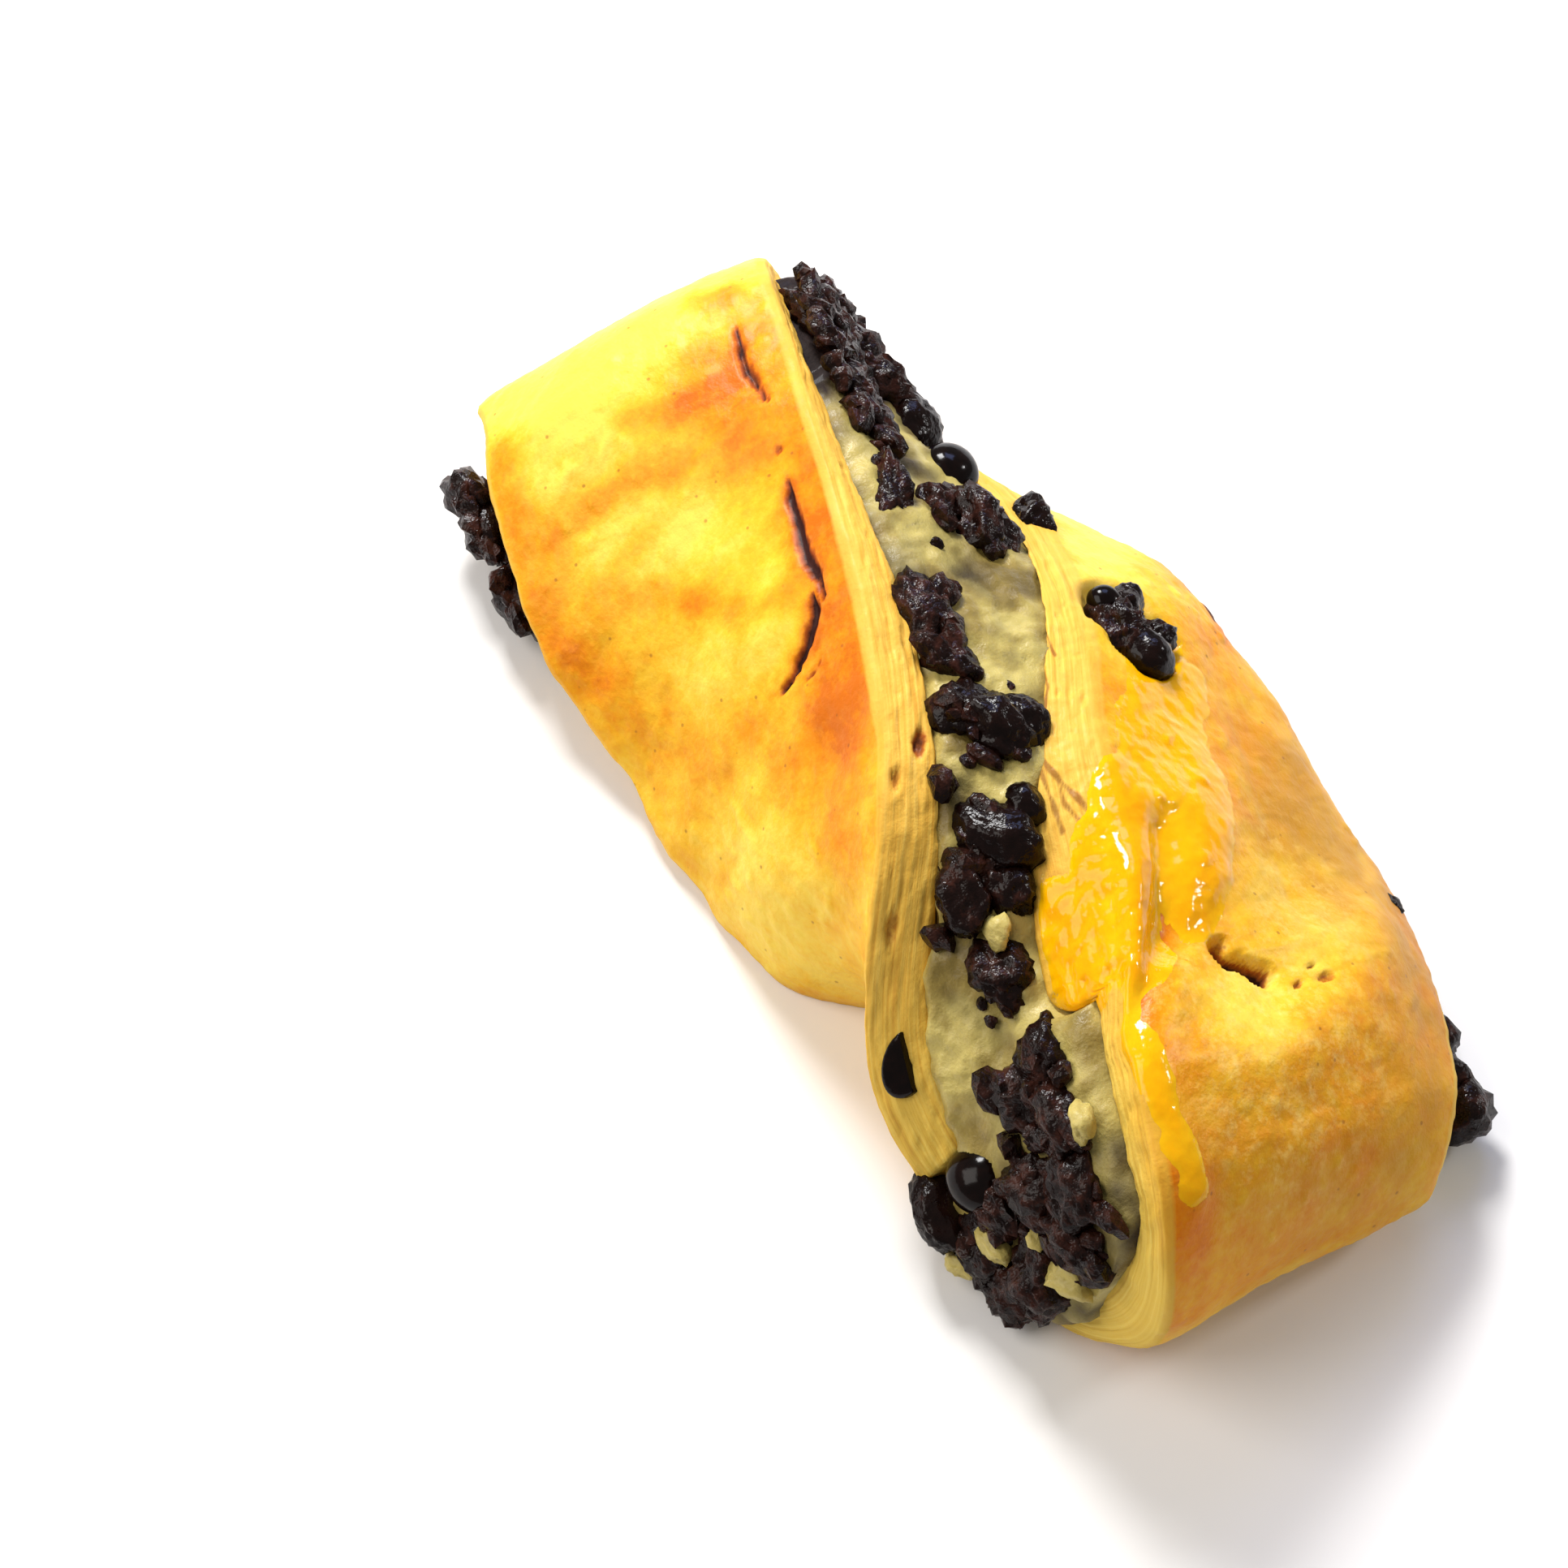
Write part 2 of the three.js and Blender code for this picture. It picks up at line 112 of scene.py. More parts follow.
def fall(start, end, value):
    return 1 - rise(start, end, value)


def along(stations, x):
    """A smooth curve through the equally spaced stations: a number, or y and z, at each x."""
    table = np.asarray(stations, float)
    last = len(table) - 1
    s = np.clip((np.asarray(x, float) - FIRST_STATION) / STATION_STEP, -0.3, last + 0.3)
    i = np.clip(np.floor(s).astype(int), 0, last - 1)
    f = s - i
    if table.ndim == 2:
        f = f[..., None]
    longer = np.concatenate([[2 * table[0] - table[1]], table, [2 * table[-1] - table[-2]]])
    a, b, c, d = (longer[i + k] for k in range(4))
    return 0.5 * (2 * b + (c - a) * f + (2 * a - 5 * b + 4 * c - d) * f**2 + (3 * b - a - 3 * c + d) * f**3)


def faces_at(x, p):
    """The upper and the lower layer's outside at x and p, the direction across, and the depth."""
    share = ((p + 1) / 2)[..., None]
    upper = mix(along(UPPER_FOOT_EDGE, x), along(UPPER_SHOWN_EDGE, x), share)
    lower = mix(along(LOWER_FOOT_EDGE, x), along(LOWER_SHOWN_EDGE, x), share)
    across = upper - lower
    across = across / np.linalg.norm(across, axis=-1, keepdims=True)
    bow = 1 - p * p
    upper = upper + across * (along(UPPER_SWELL, x) * bow)[..., None]
    low = along(LOWER_SWELL, x) + along(LOWER_FOOT_SWELL, x) * np.maximum(-p, 0)
    lower = lower - across * (low * bow)[..., None]
    return upper, lower, across, np.linalg.norm(upper - lower, axis=-1)


def point_at(x, p, q, proud=0.0):
    """Points of the strip in the row's frame; q runs from -1 on the lower outside to +1 on the upper."""
    x, p, q, proud = np.broadcast_arrays(*(np.asarray(v, float) for v in (x, p, q, proud)))
    upper, lower, across, _ = faces_at(x, p)
    yz = mix(lower, upper, ((q + 1) / 2)[..., None]) + across * (np.sign(q) * proud)[..., None]
    z = np.maximum(yz[..., 1] - UNDERSIDE, 0)
    return np.stack([x - MIDDLE[0], yz[..., 0] - MIDDLE[1], z], -1)


# ---- smooth random fields

def noise(points, cell, seed):
    """A smooth random field, about -1 to 1, whose lumps are cell millimetres across."""
    rng = np.random.default_rng(seed)
    order = rng.permutation(256)
    slopes = rng.normal(size=(256, 3))
    slopes /= np.linalg.norm(slopes, axis=1, keepdims=True)
    scaled = np.asarray(points, float) / cell
    corner = np.floor(scaled).astype(int)
    f = scaled - corner
    ease = f * f * f * (f * (6 * f - 15) + 10)
    total = 0.0
    for i in (0, 1):
        for j in (0, 1):
            for k in (0, 1):
                at = corner + (i, j, k)
                pick = order[(order[(order[at[..., 0] % 256] + at[..., 1]) % 256] + at[..., 2]) % 256]
                share = 1.0
                for axis, step in enumerate((i, j, k)):
                    share = share * (ease[..., axis] if step else 1 - ease[..., axis])
                total = total + share * np.sum(slopes[pick] * (f - (i, j, k)), -1)
    return 1.6 * total


def rough(points, cell, seed, layers=3):
    """Several fields of halving size added up."""
    return sum(noise(points, cell / 2**n, seed + n) / 2**n for n in range(layers))


def distance_to(path, x, p):
    """Distance in millimetres from points of a face, given by x and p, to a path of such points."""
    here = np.stack([x, p * HALF_WIDTH], -1)
    stops = np.array([(a, b * HALF_WIDTH) for a, b in path], float)
    nearest = np.full(np.shape(x), np.inf)
    if len(stops) == 1:
        return np.linalg.norm(here - stops[0], axis=-1)
    for start, end in zip(stops, stops[1:]):
        way = end - start
        share = np.clip(((here - start) @ way) / (way @ way), 0, 1)
        nearest = np.minimum(nearest, np.linalg.norm(here - start - share[..., None] * way, axis=-1))
    return nearest


def marks_sum(marks, x, p):
    """All the marks of one list added up, each fading out over its half-width."""
    return sum(amount * np.exp(-((distance_to(path, x, p) / width) ** 2)) for path, width, amount in marks)


# ---- the dough

# Marks on the crust, each a path of (x, p), its half-width in millimetres and how strong it is.
UPPER_SPLITS = [
    ([(-66.5, 0.73), (-62, 0.73), (-58, 0.745), (-53, 0.79)], 0.75, 0.8),
    ([(-46.5, 0.77), (-45, 0.775)], 0.6, 0.5),
    ([(-41.5, 0.76), (-38, 0.74), (-33, 0.755), (-29, 0.765), (-26, 0.79), (-23, 0.80)], 1.0, 1.0),
    ([(-24.6, 0.74), (-22, 0.72), (-20.3, 0.66), (-19, 0.59), (-17.8, 0.50), (-17.3, 0.38)], 1.0, 1.0),
    ([(-16.5, 0.68), (-15.8, 0.58)], 0.35, 0.6),
]
UPPER_BROWNING = [
    ([(-66, 0.76), (-52, 0.76), (-42, 0.85), (-30, 0.88), (-15, 0.88), (-8, 0.8)], 5.5, 0.4),
    ([(-64, 0.45), (-50, 0.5)], 5, 0.25),
    ([(-63, 0.05), (-60, 0.3), (-59, 0.62)], 2.0, 0.4),
    ([(-74, 0.55), (-72, 0.72)], 2.5, 0.5),
    ([(-71, -0.8), (-62, -0.78), (-47, -0.82), (-39, -0.7)], 4, 0.42),
    ([(-57.5, -0.55), (-56, -0.1), (-53, 0.2)], 2.4, 0.4),
    ([(-47.5, -0.4), (-49, -0.1)], 2.2, 0.25),
    ([(-44, -0.3), (-38, 0.0), (-32, 0.3)], 3.0, 0.32),
    ([(-36, 0.05), (-29, 0.35), (-27, 0.6)], 2.0, 0.25),
    ([(-30, -0.6), (-20, -0.3)], 6, 0.22),
    ([(-20, 0.1), (-9, 0.2)], 4, 0.25),
    ([(-12, 0.62), (-4, 0.6), (3, 0.55)], 6.5, 0.42),
]
UPPER_PALE = [
    ([(-80, -0.6), (-78, 0.4), (-75, 0.95)], 8, 0.4),
    ([(-69, 0.0), (-66, -0.35)], 9, 0.25),
    ([(-45, 0.1), (-50, -0.2)], 5, 0.22),
    ([(-26, 0.45), (-28, 0.1)], 6, 0.25),
    ([(-6, -0.25), (2, -0.1)], 6, 0.2),
    ([(5, -0.6), (20, -0.4)], 8, 0.2),
]
LOWER_BROWNING_AND_CREASE_SHADE = [
    ([(-20, -0.05), (-14, -0.15), (-8, -0.3)], 3.0, 0.35),
    ([(-6, 0.1), (-4, -0.2)], 4, 0.12),
    ([(9, 0.0), (14, -0.1), (20, -0.1)], 5, 0.2),
    ([(30, -0.75), (43, -0.9), (54, -0.88)], 4.5, 0.25),
    ([(47, -0.45), (52, -0.5)], 6, 0.2),
    ([(60, 0.85), (66, 0.75), (70, 0.85)], 4.0, 0.2),
    ([(56, 0.4), (53, 0.0), (60, -0.2)], 5, 0.15),
    ([(66, -0.3), (68, 0.4)], 5, 0.12),
    # Painted shade: this last mark draws the crease between the lip and the pillow browner.
    ([(46, 1.0), (40, 0.9), (35, 0.8), (24, 0.72)], 2.2, 0.45),
]
LOWER_PALE = [
    ([(-40, 0.5), (-24, 0.6), (-10, 0.95)], 7, 0.35),
    ([(33, 0.2), (40, -0.1)], 7, 0.3),
    ([(44, 0.45), (50, 0.3)], 5, 0.3),
    ([(26, -0.35), (30, -0.55)], 6, 0.25),
]
# Painted shade: the lower layer's crust is drawn browner towards the near end.
LOWER_PAINTED_SHADE = 0.15
# Painted shade: where the lower layer turns from the light, its crust is drawn a deeper, duller gold.
PAINTED_SIDE_SHADE = [([(22, -0.2), (32, -0.4), (42, -0.7), (56, -0.75)], 9, 0.8), ([(12, -0.3), (24, -0.7)], 9, 0.6),
          ([(58, 0.7), (66, 0.0), (66, -0.6)], 6, 0.45), ([(34, 0.25), (36, 0.0)], 4, 0.4)]
# Where the crust of the lower layer has pale flakes.
FLAKY = [([(42, 0.6), (50, 0.5), (58, 0.35)], 9, 1.0), ([(46, 0.1), (56, -0.2)], 9, 0.6),
         ([(26, 0.1), (34, -0.1)], 7, 0.5)]
SCORCHED_EDGE = ([(-18, -0.08), (-14, -0.14), (-10, -0.22)], 1.0, 0.8)
# Streaks of melted chocolate on the lower layer's cut side: paths of (x, q), in millimetres after
# the cut side's own half-depth, and half-width.
SMEARS = [
    ([(4, -0.28), (6, -0.36), (9, -0.49), (11.5, -0.6), (15, -0.74), (19, -0.87)], 0.16),
    ([(6, -0.36), (10, -0.45), (14, -0.54), (18, -0.6)], 0.1),
    ([(11.5, -0.6), (15, -0.64), (18, -0.74)], 0.06),
    ([(-11, -0.48), (-8, -0.5), (-5.5, -0.46), (-3, -0.52), (0, -0.58), (3, -0.5)], 0.16),
    ([(-9, -0.52), (-7, -0.62), (-4, -0.68)], 0.08),
]
CUT_HALF_DEPTH = 15
# Where the syrup lies on the lower layer: paths of (x, p), half-width and thickness in millimetres;
# past the shown edge p goes on over the cut side.
GLAZE_POOLS = [
    ([(0, 0.55), (10, 0.68), (20, 0.64), (28, 0.62)], 6.0, 0.24),
    ([(2, 0.3), (10, 0.42), (18, 0.45)], 3.6, 0.22),
    ([(16, 0.4), (24, 0.45), (29, 0.5), (33, 0.6)], 3.6, 0.35),
    ([(16, 0.9), (24, 0.95), (37, 0.95)], 4.6, 0.38),
    ([(21, 1.15), (28, 1.25), (36, 1.25)], 3.6, 0.36),
    ([(25, 1.4), (36, 1.4)], 3.2, 0.34),
    ([(37, 1.0), (45, 0.98), (55, 0.89), (62, 0.83)], 1.9, 0.22),
]
# The crest beside the crease is only brushed with it.
GLAZE_BRUSHED = [([(38, 0.98), (46, 0.97), (54, 0.93), (64, 0.9)], 3.6, 0.35)]
CREST = ([(40, 0.87), (46, 0.92), (52, 0.89), (57, 0.85), (63, 0.82)], 2.6, 0.9)
TORN_HOLE = ([(37.8, 0.5), (39.4, 0.44), (40.6, 0.36), (42.8, 0.27)], 0.9)
TORN_DENT = ([(36, 0.62), (39, 0.48), (43.5, 0.25)], 4.5, 1.7)
SMALL_HOLES = [([(44.8, 0.1)], 0.7), ([(44.9, -0.04), (45.1, -0.07)], 0.8), ([(43, 0.02)], 0.4)]
CHIP_HOLLOW = ([(-11, 0.8), (-7, 0.68), (-3, 0.56)], 4.8, 2.4)
# Pits in the shown cut side: (x, q), size, and how dark the painted shade inside each is.
CUT_HOLES = [((4, 0.87), 0.9, 0.35), ((1, 0.63), 1.2, 0.9), ((17, 0.8), 1.0, 0.3), ((23, 0.43), 0.35, 0.8)]

# How far the crust's marks stand out or sink in, in millimetres.
RIPPLES, LUMPS, BLISTERS, CRUST_GRAIN = 0.6, 0.34, 0.22, 0.09
SPLIT_DEPTH, HOLE_DEPTH, SMALL_HOLE_DEPTH, CUT_HOLE_DEPTH = 0.9, 2.6, 0.7, 0.9
# The same for the cut sides' leaves, torn places, pits and lumps, and one leaf's thickness.
LEAVES, TORN, PITS, CUT_LUMPS = 0.09, 0.2, 0.35, 0.24
LEAF_THICKNESS = 0.62
PLAIN_BROWNING = 0.34    # of crust with no marks, where 1 is the darkest
NO_SMEAR = 9.0           # millimetres from any smear, for points that have none


def relief(x, p, q):
    """The soft waves of the solid's outside, with the crease and the pillow on the lower layer."""
    waves = 0.45 * np.sin(x / 9 + 2 * p + 3 * q) + 0.35 * np.sin(x / 5.5 - 3.1 * p + q)
    on_lower = fall(-0.85, -0.35, q)
    groove = marks_sum([(CREASE, CREASE_HALF_WIDTH, CREASE_DEPTH)], x, p)
    pillow = PILLOW_RISE * rise(32, 40, x) * fall(50, 62, x) * np.maximum(0, 1 - (p - 0.25) ** 2)
    return waves + on_lower * (pillow - groove)


def wall_at(x, p, q):
    """Thickness of the dough on the layer that q lies in."""
    depth = faces_at(x, p)[3]
    shown = np.where(q > 0, along(UPPER_DOUGH, x), along(LOWER_DOUGH, x))
    wall = mix(FOOT_DOUGH_SHARE * depth, shown, (p + 1) / 2)
    past = np.clip((x - LIP_TO + LIP_END_ROUNDING) / LIP_END_ROUNDING, 0, 1)
    lengthwise = rise(LIP_FROM, LIP_TO - 6, x) * np.sqrt(1 - past * past)
    lip = LIP_DEPTH * lengthwise * rise(1 - LIP_WIDTH, 1 - LIP_WIDTH / 3, p)
    return np.minimum(wall + np.where(q < 0, lip, 0), MOST * depth)


def dough_stops(step):
    """Stops along the folded dough: x, and a fold's side, turn, reach, slant, crown and dough."""
    rows = []

    def run(start, end, turn, apart=step):
        for x in np.linspace(start, end, round(abs(end - start) / apart) + 1):
            rows.append((x, 1, turn, 0, 0, 0, 0))

    def fold(start, side, reach, slant, crown, dough):
        count = round(math.pi * reach / step)
        for turn in np.linspace(0, math.pi, count + 1)[1:-1]:
            rows.append((start, side, turn, reach, slant, crown, dough))

    run(UPPER_END, FAR_FOLD_START, 0)
    fold(FAR_FOLD_START, 1, FAR_FOLD_REACH, FAR_FOLD_SLANT, FAR_FOLD_CROWN, FAR_FOLD_DOUGH)
    run(FAR_FOLD_START, FINE_FROM - step, math.pi)
    run(FINE_FROM, FINE_TO, math.pi, FINE_STEP)
    run(FINE_TO + step, NEAR_FOLD_START, math.pi)
    fold(NEAR_FOLD_START, -1, NEAR_FOLD_REACH, NEAR_FOLD_SLANT, NEAR_FOLD_CROWN, NEAR_FOLD_DOUGH)
    return np.array(rows)


def dough_at(stops, p, deep):
    """Points of the dough at each stop and each p; deep runs from 0 outside to 1 inside."""
    start, side, turn, reach, slant, crown, dough = (column[:, None] for column in stops.T)
    p = np.broadcast_to(p, (len(stops), p.shape[-1]))
    start = np.broadcast_to(start, p.shape)
    bend = np.sin(turn)
    q = side * np.cos(turn)
    q = np.broadcast_to(np.where(np.abs(q) < 1e-9, 1e-9, q), p.shape)
    depth = faces_at(start, p)[3]
    wall = np.minimum(mix(wall_at(start, p, q), np.maximum(dough, 0.1), bend), MOST * depth)
    out = reach + crown * (1 - p * p) + slant * p - FOLD_ROUNDING * np.abs(p) ** 10
    outside = point_at(start - side * out * bend, p, q, np.abs(q) * relief(start, p, q))
    inside = point_at(start - side * (out - wall) * bend, p, q * (1 - 2 * wall / depth))
    # Round a fold the true x goes past the fold's start, which keeps the marks from smearing.
    beyond = start - side * out * bend
    fields = {"x": beyond, "p": p, "q": q, "wall": wall, "deep": np.broadcast_to(deep, p.shape)}
    return mix(outside, inside, deep[..., None]), fields


def cut_side_at(deep):
    """How far out, as p, the rounded cut side lies at each depth into the dough."""
    return RIM + (1 - RIM) * (1 - np.abs(2 * deep - 1) ** 3) ** (1 / 3)


def dough_section(step):
    """One turn round the dough's section, as p and deep: outside, shown side, inside, foot side."""
    faces = round(2 * HALF_WIDTH / step)
    sides = round(7 / CUT_STEP)
    p_out = np.linspace(-RIM, RIM, faces)
    deep_side = np.linspace(0, 1, sides + 2)[1:-1]
    round_side = cut_side_at(deep_side)
    p = np.concatenate([p_out, round_side, p_out[::-1], -round_side])
    deep = np.concatenate([np.zeros(faces), deep_side, np.ones(faces), deep_side[::-1]])
    return p, deep


def normals_of(points, closed):
    """Unit normals of a grid of points, whose rows close on themselves or not."""
    lengthwise = np.gradient(points, axis=0)
    if closed:
        around = np.roll(points, -1, axis=1) - np.roll(points, 1, axis=1)
    else:
        around = np.gradient(points, axis=1)
    found = np.cross(around, lengthwise)
    return found / np.maximum(np.linalg.norm(found, axis=-1, keepdims=True), 1e-9)


def dough_finish(points, fields):
    """How far each point of the dough stands out, and what its surface looks like there."""
    x, p, q, deep = fields["x"], fields["p"], fields["q"], fields["deep"]
    depth_mm = deep * fields["wall"]
    upper = rise(-0.3, 0.3, q)
    lower = 1 - upper
    outer = fall(0.0, 1.6, depth_mm)
    cut = rise(0.25, 1.3, depth_mm)
    shown = rise(0.5, 0.9, p)

    # Crust: broad ripples across the strip, soft lumps, blisters and fine grain.
    flat = np.stack([x, p * 6, 3 * q], -1)
    ripples = noise(flat, 6.5, 11) * upper * fall(0.5, 0.85, p)
    lumps = rough(points, 9, 21)
    blisters = rise(0.2, 0.7, noise(points, 2.2, 31)) * rise(-0.2, 0.4, noise(points, 14, 32))
    crust = RIPPLES * ripples + LUMPS * lumps + BLISTERS * blisters + CRUST_GRAIN * noise(points, 1.3, 33)

    wobble = 1 + 0.45 * noise(points, 1.8, 41)
    splits, singed = 0.0, 0.0
    frayed = 0.3 * noise(np.stack([x / 2.5, p * HALF_WIDTH, q], -1), 0.8, 44)
    for path, width, amount in UPPER_SPLITS:
        # Each split is a spindle: widest halfway along, and running out to nothing.
        first, last = path[0][0], path[-1][0]
        spindle = np.sqrt(np.clip(1 - (2 * (x - first) / (last - first) - 1) ** 2, 0.02, 1))
        away = np.abs(distance_to(path, x, p) + frayed) / (width * wobble * spindle)
        splits = splits + amount * fall(0.1, 1.2, away) * upper
        singed = singed + amount * np.exp(-((away / 2.4) ** 2)) * upper
    hole_distance = distance_to(TORN_HOLE[0], x, p) + 0.8 * noise(points, 2.3, 42)
    hole = fall(TORN_HOLE[1] - 0.5, TORN_HOLE[1] + 0.6, hole_distance) * lower
    dent = marks_sum([TORN_DENT], x, p) * lower
    small = sum(
        fall(0.5, 1.1, distance_to(path, x, p) / (width * wobble)) for path, width in SMALL_HOLES
    ) * lower
    hollow_distance = distance_to(CHIP_HOLLOW[0], x, p) + 0.8 * noise(points, 3, 43)
    hollow = fall(CHIP_HOLLOW[1] - 2.2, CHIP_HOLLOW[1], hollow_distance) * lower

    # Cut sides: fine leaves of dough one on another, some of them torn.
    leaves = np.stack([x / 16, depth_mm / LEAF_THICKNESS, p * 0.3], -1)
    leaf = noise(leaves, 1, 51)
    torn = rise(0.15, 0.6, noise(np.stack([x / 5, depth_mm / 1.1, q], -1), 1, 52))
    pits = rise(0.45, 0.8, noise(np.stack([x / 2.2, depth_mm / 0.9, p], -1), 1, 57))
    cut_relief = LEAVES * leaf - TORN * torn - PITS * pits + CUT_LUMPS * rough(points, 3.2, 53)
    cut_holes, cut_pit_shade = 0.0, 0.0
    q_cut = q * (1 - 2 * depth_mm / faces_at(x, np.clip(p, -1, 1))[3])
    # Pits in the cut side, sunk in and painted dark as the shade inside them.
    for (hole_x, hole_q), size, dark in CUT_HOLES:
        away = np.hypot((x - hole_x) / 1.6, (q_cut - hole_q) * CUT_HALF_DEPTH) / size
        cut_holes = cut_holes + fall(0.4, 1.1, away + 0.3 * noise(points, 0.8, 55)) * shown
        cut_pit_shade = cut_pit_shade + dark * fall(0.3, 1.2, away) * shown
    smear_mm = np.full(np.shape(x), NO_SMEAR)
    for path, width in SMEARS:
        scaled = [(a, b * CUT_HALF_DEPTH / HALF_WIDTH) for a, b in path]
        away = distance_to(scaled, x, q_cut * CUT_HALF_DEPTH / HALF_WIDTH) + 0.25 * noise(points, 3, 56)
        smear_mm = np.minimum(smear_mm, np.abs(away) - width)
    smear_mm = np.where((p > 0.93) & (q < 0), smear_mm, NO_SMEAR)

    crest = marks_sum([CREST], x, p) * lower
    dry = 1 - 0.7 * np.clip(crest / CREST[2], 0, 1)
    sunk = SPLIT_DEPTH * splits + HOLE_DEPTH * hole + dent + SMALL_HOLE_DEPTH * small
    stands = outer * (dry * crust + crest - sunk)
    stands = stands - outer * CHIP_HOLLOW[2] * hollow
    stands = stands + (1 - outer) * (cut_relief - CUT_HOLE_DEPTH * cut_holes)

    # Browning of the crust, with painted shade in it: the lower layer is drawn browner towards the near end
    # and along its crease.
    browning_and_shade = PLAIN_BROWNING + 0.09 * rough(points, 8, 61) + 0.08 * noise(points, 2.4, 62) + 0.1 * ripples
    browning_and_shade = browning_and_shade + upper * (marks_sum(UPPER_BROWNING, x, p) - marks_sum(UPPER_PALE, x, p))
    browning_and_shade = browning_and_shade + lower * (marks_sum(LOWER_BROWNING_AND_CREASE_SHADE, x, p) - marks_sum(LOWER_PALE, x, p))
    browning_and_shade = browning_and_shade + LOWER_PAINTED_SHADE * lower * rise(-30, 0, x)
    browning_and_shade = browning_and_shade - 0.12 * hollow - 0.15 * blisters + 0.35 * singed
    browning_and_shade = browning_and_shade + upper * 0.1 * rise(0.8, 0.92, p) + lower * 0.08 * rise(0.85, 0.93, np.abs(p))
    # A real scorched edge on the lower layer; the splits, the torn hole, the small holes and the pits in
    # the cut side are painted dark as the shade inside them.
    scorch_path, scorch_width, scorch = SCORCHED_EDGE
    away = distance_to(scorch_path, x, p) / scorch_width + 0.5 * noise(points, 1.2, 63)
    scorch_and_shade = scorch * fall(0.5, 1.4, away)
    scorch_and_shade = np.maximum(scorch_and_shade * lower, splits)
    scorch_and_shade = np.maximum(scorch_and_shade, np.maximum(hole**3, 0.35 * small)) * outer
    scorch_and_shade = np.maximum(scorch_and_shade, 0.75 * cut_pit_shade * (1 - outer))
    past = p + depth_mm / HALF_WIDTH
    # Painted shade on the lower layer's side that turns from the light.
    side_shade = marks_sum(PAINTED_SIDE_SHADE, x, p) * (0.8 + 0.5 * noise(points, 5, 64))
    looks = {
        "browning_and_shade": np.clip(browning_and_shade, 0, 1),
        "cut": np.clip(np.maximum(cut, 0.7 * hollow * outer) + 0.8 * rise(0.925, 0.95, np.abs(p)), 0, 1),
        "side_shade": np.clip(side_shade * lower * outer, 0, 0.9),
        "flaky": np.clip(marks_sum(FLAKY, x, p) * lower * outer + 0.12, 0, 1),
        "scorch_and_shade": np.clip(scorch_and_shade, 0, 1),
        "smear_mm": smear_mm,
        "wet": np.clip(wet_at(GLAZE_POOLS + GLAZE_BRUSHED, x, past, points, 2.2), 0, 1) * lower,
        "depth_mm": depth_mm,
        "along_mm": x,
    }
    return stands, looks


def wet_at(pools, x, past, points, spread):
    """How thick the syrup lies, in millimetres; spread lets it thin out further from its pools."""
    wander = 1.0 * rough(points, 6, 91)
    cover = np.zeros(np.shape(x))
    for path, width, thickness in pools:
        away = (distance_to(path, x, past) + wander) / (width + spread)
        cover = np.maximum(cover, thickness * rise(0, 1, 1.3 - away))
    return cover


def raised(stops, p, deep, closed):
    """The finished dough's surface: points, outward normals, and its looks."""
    points, fields = dough_at(stops, p, deep)
    normals = normals_of(points, closed)
    stands, looks = dough_finish(points, fields)
    points = points + normals * (stands * (fields["deep"] < 0.97))[..., None]
    points[..., 2] = np.maximum(points[..., 2], 0)
    return points, normals, fields, looks


# ---- writing meshes

def placed(name, data):
    """A new object in the scene."""
    thing = bpy.data.objects.new(name, data)
    bpy.context.scene.collection.objects.link(thing)
    return thing


def new_piece(name, points, faces, material, looks, smooth=True):
    """A mesh object from points in millimetres, with one float attribute for each look."""
    mesh = bpy.data.meshes.new(name)
    mesh.from_pydata((np.asarray(points) * MM).tolist(), [], faces)
    mesh.validate()
    for key, values in looks.items():
        attribute = mesh.attributes.new(key, "FLOAT", "POINT")
        attribute.data.foreach_set("value", np.asarray(values, np.float32).ravel())
    mesh.polygons.foreach_set("use_smooth", [smooth] * len(mesh.polygons))
    mesh.materials.append(material)
    return placed(name, mesh)


def tube_faces(rows, columns):
    """Quads of a grid whose rows close on themselves."""
    r, c = np.meshgrid(np.arange(rows - 1), np.arange(columns), indexing="ij")
    a = r * columns + c
    b = r * columns + (c + 1) % columns
    return np.stack([a, b, b + columns, a + columns], -1).reshape(-1, 4).tolist()


def make_dough(material):
    """The folded sheet of dough, closed over both its ends."""
    stops = dough_stops(STEP)
    p, deep = dough_section(STEP)
    points, _, _, looks = raised(stops, p[None], deep[None], True)
    rows, columns = points.shape[:2]
    faces = tube_faces(rows, columns)
    # The end of each ring: outside and inside rows run the same way, so quads join them.
    outer = round(2 * HALF_WIDTH / STEP)
    sides = (columns - 2 * outer) // 2
    for row in (0, rows - 1):
        base = row * columns
        near = [base + i for i in range(outer)]
        far = [base + outer + sides + (outer - 1 - i) for i in range(outer)]
        cap = [(near[i], near[i + 1], far[i + 1], far[i]) for i in range(outer - 1)]
        cap.append((near[-1], *[base + outer + i for i in range(sides)], far[-1]))
        cap.append((far[0], *[base + 2 * outer + sides + i for i in range(sides)], near[0]))
        faces += [face if row else face[::-1] for face in cap]
    piece = new_piece("dough_sheet", points.reshape(-1, 3), faces, material, looks)
    fix_normals(piece)
    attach(piece, "root")
    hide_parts("dough")


def fix_normals(piece):
    """All faces point outwards."""
    work = bmesh.new()
    work.from_mesh(piece.data)
    bmesh.ops.recalc_face_normals(work, faces=work.faces)
    work.to_mesh(piece.data)
    work.free()


# ---- the custard

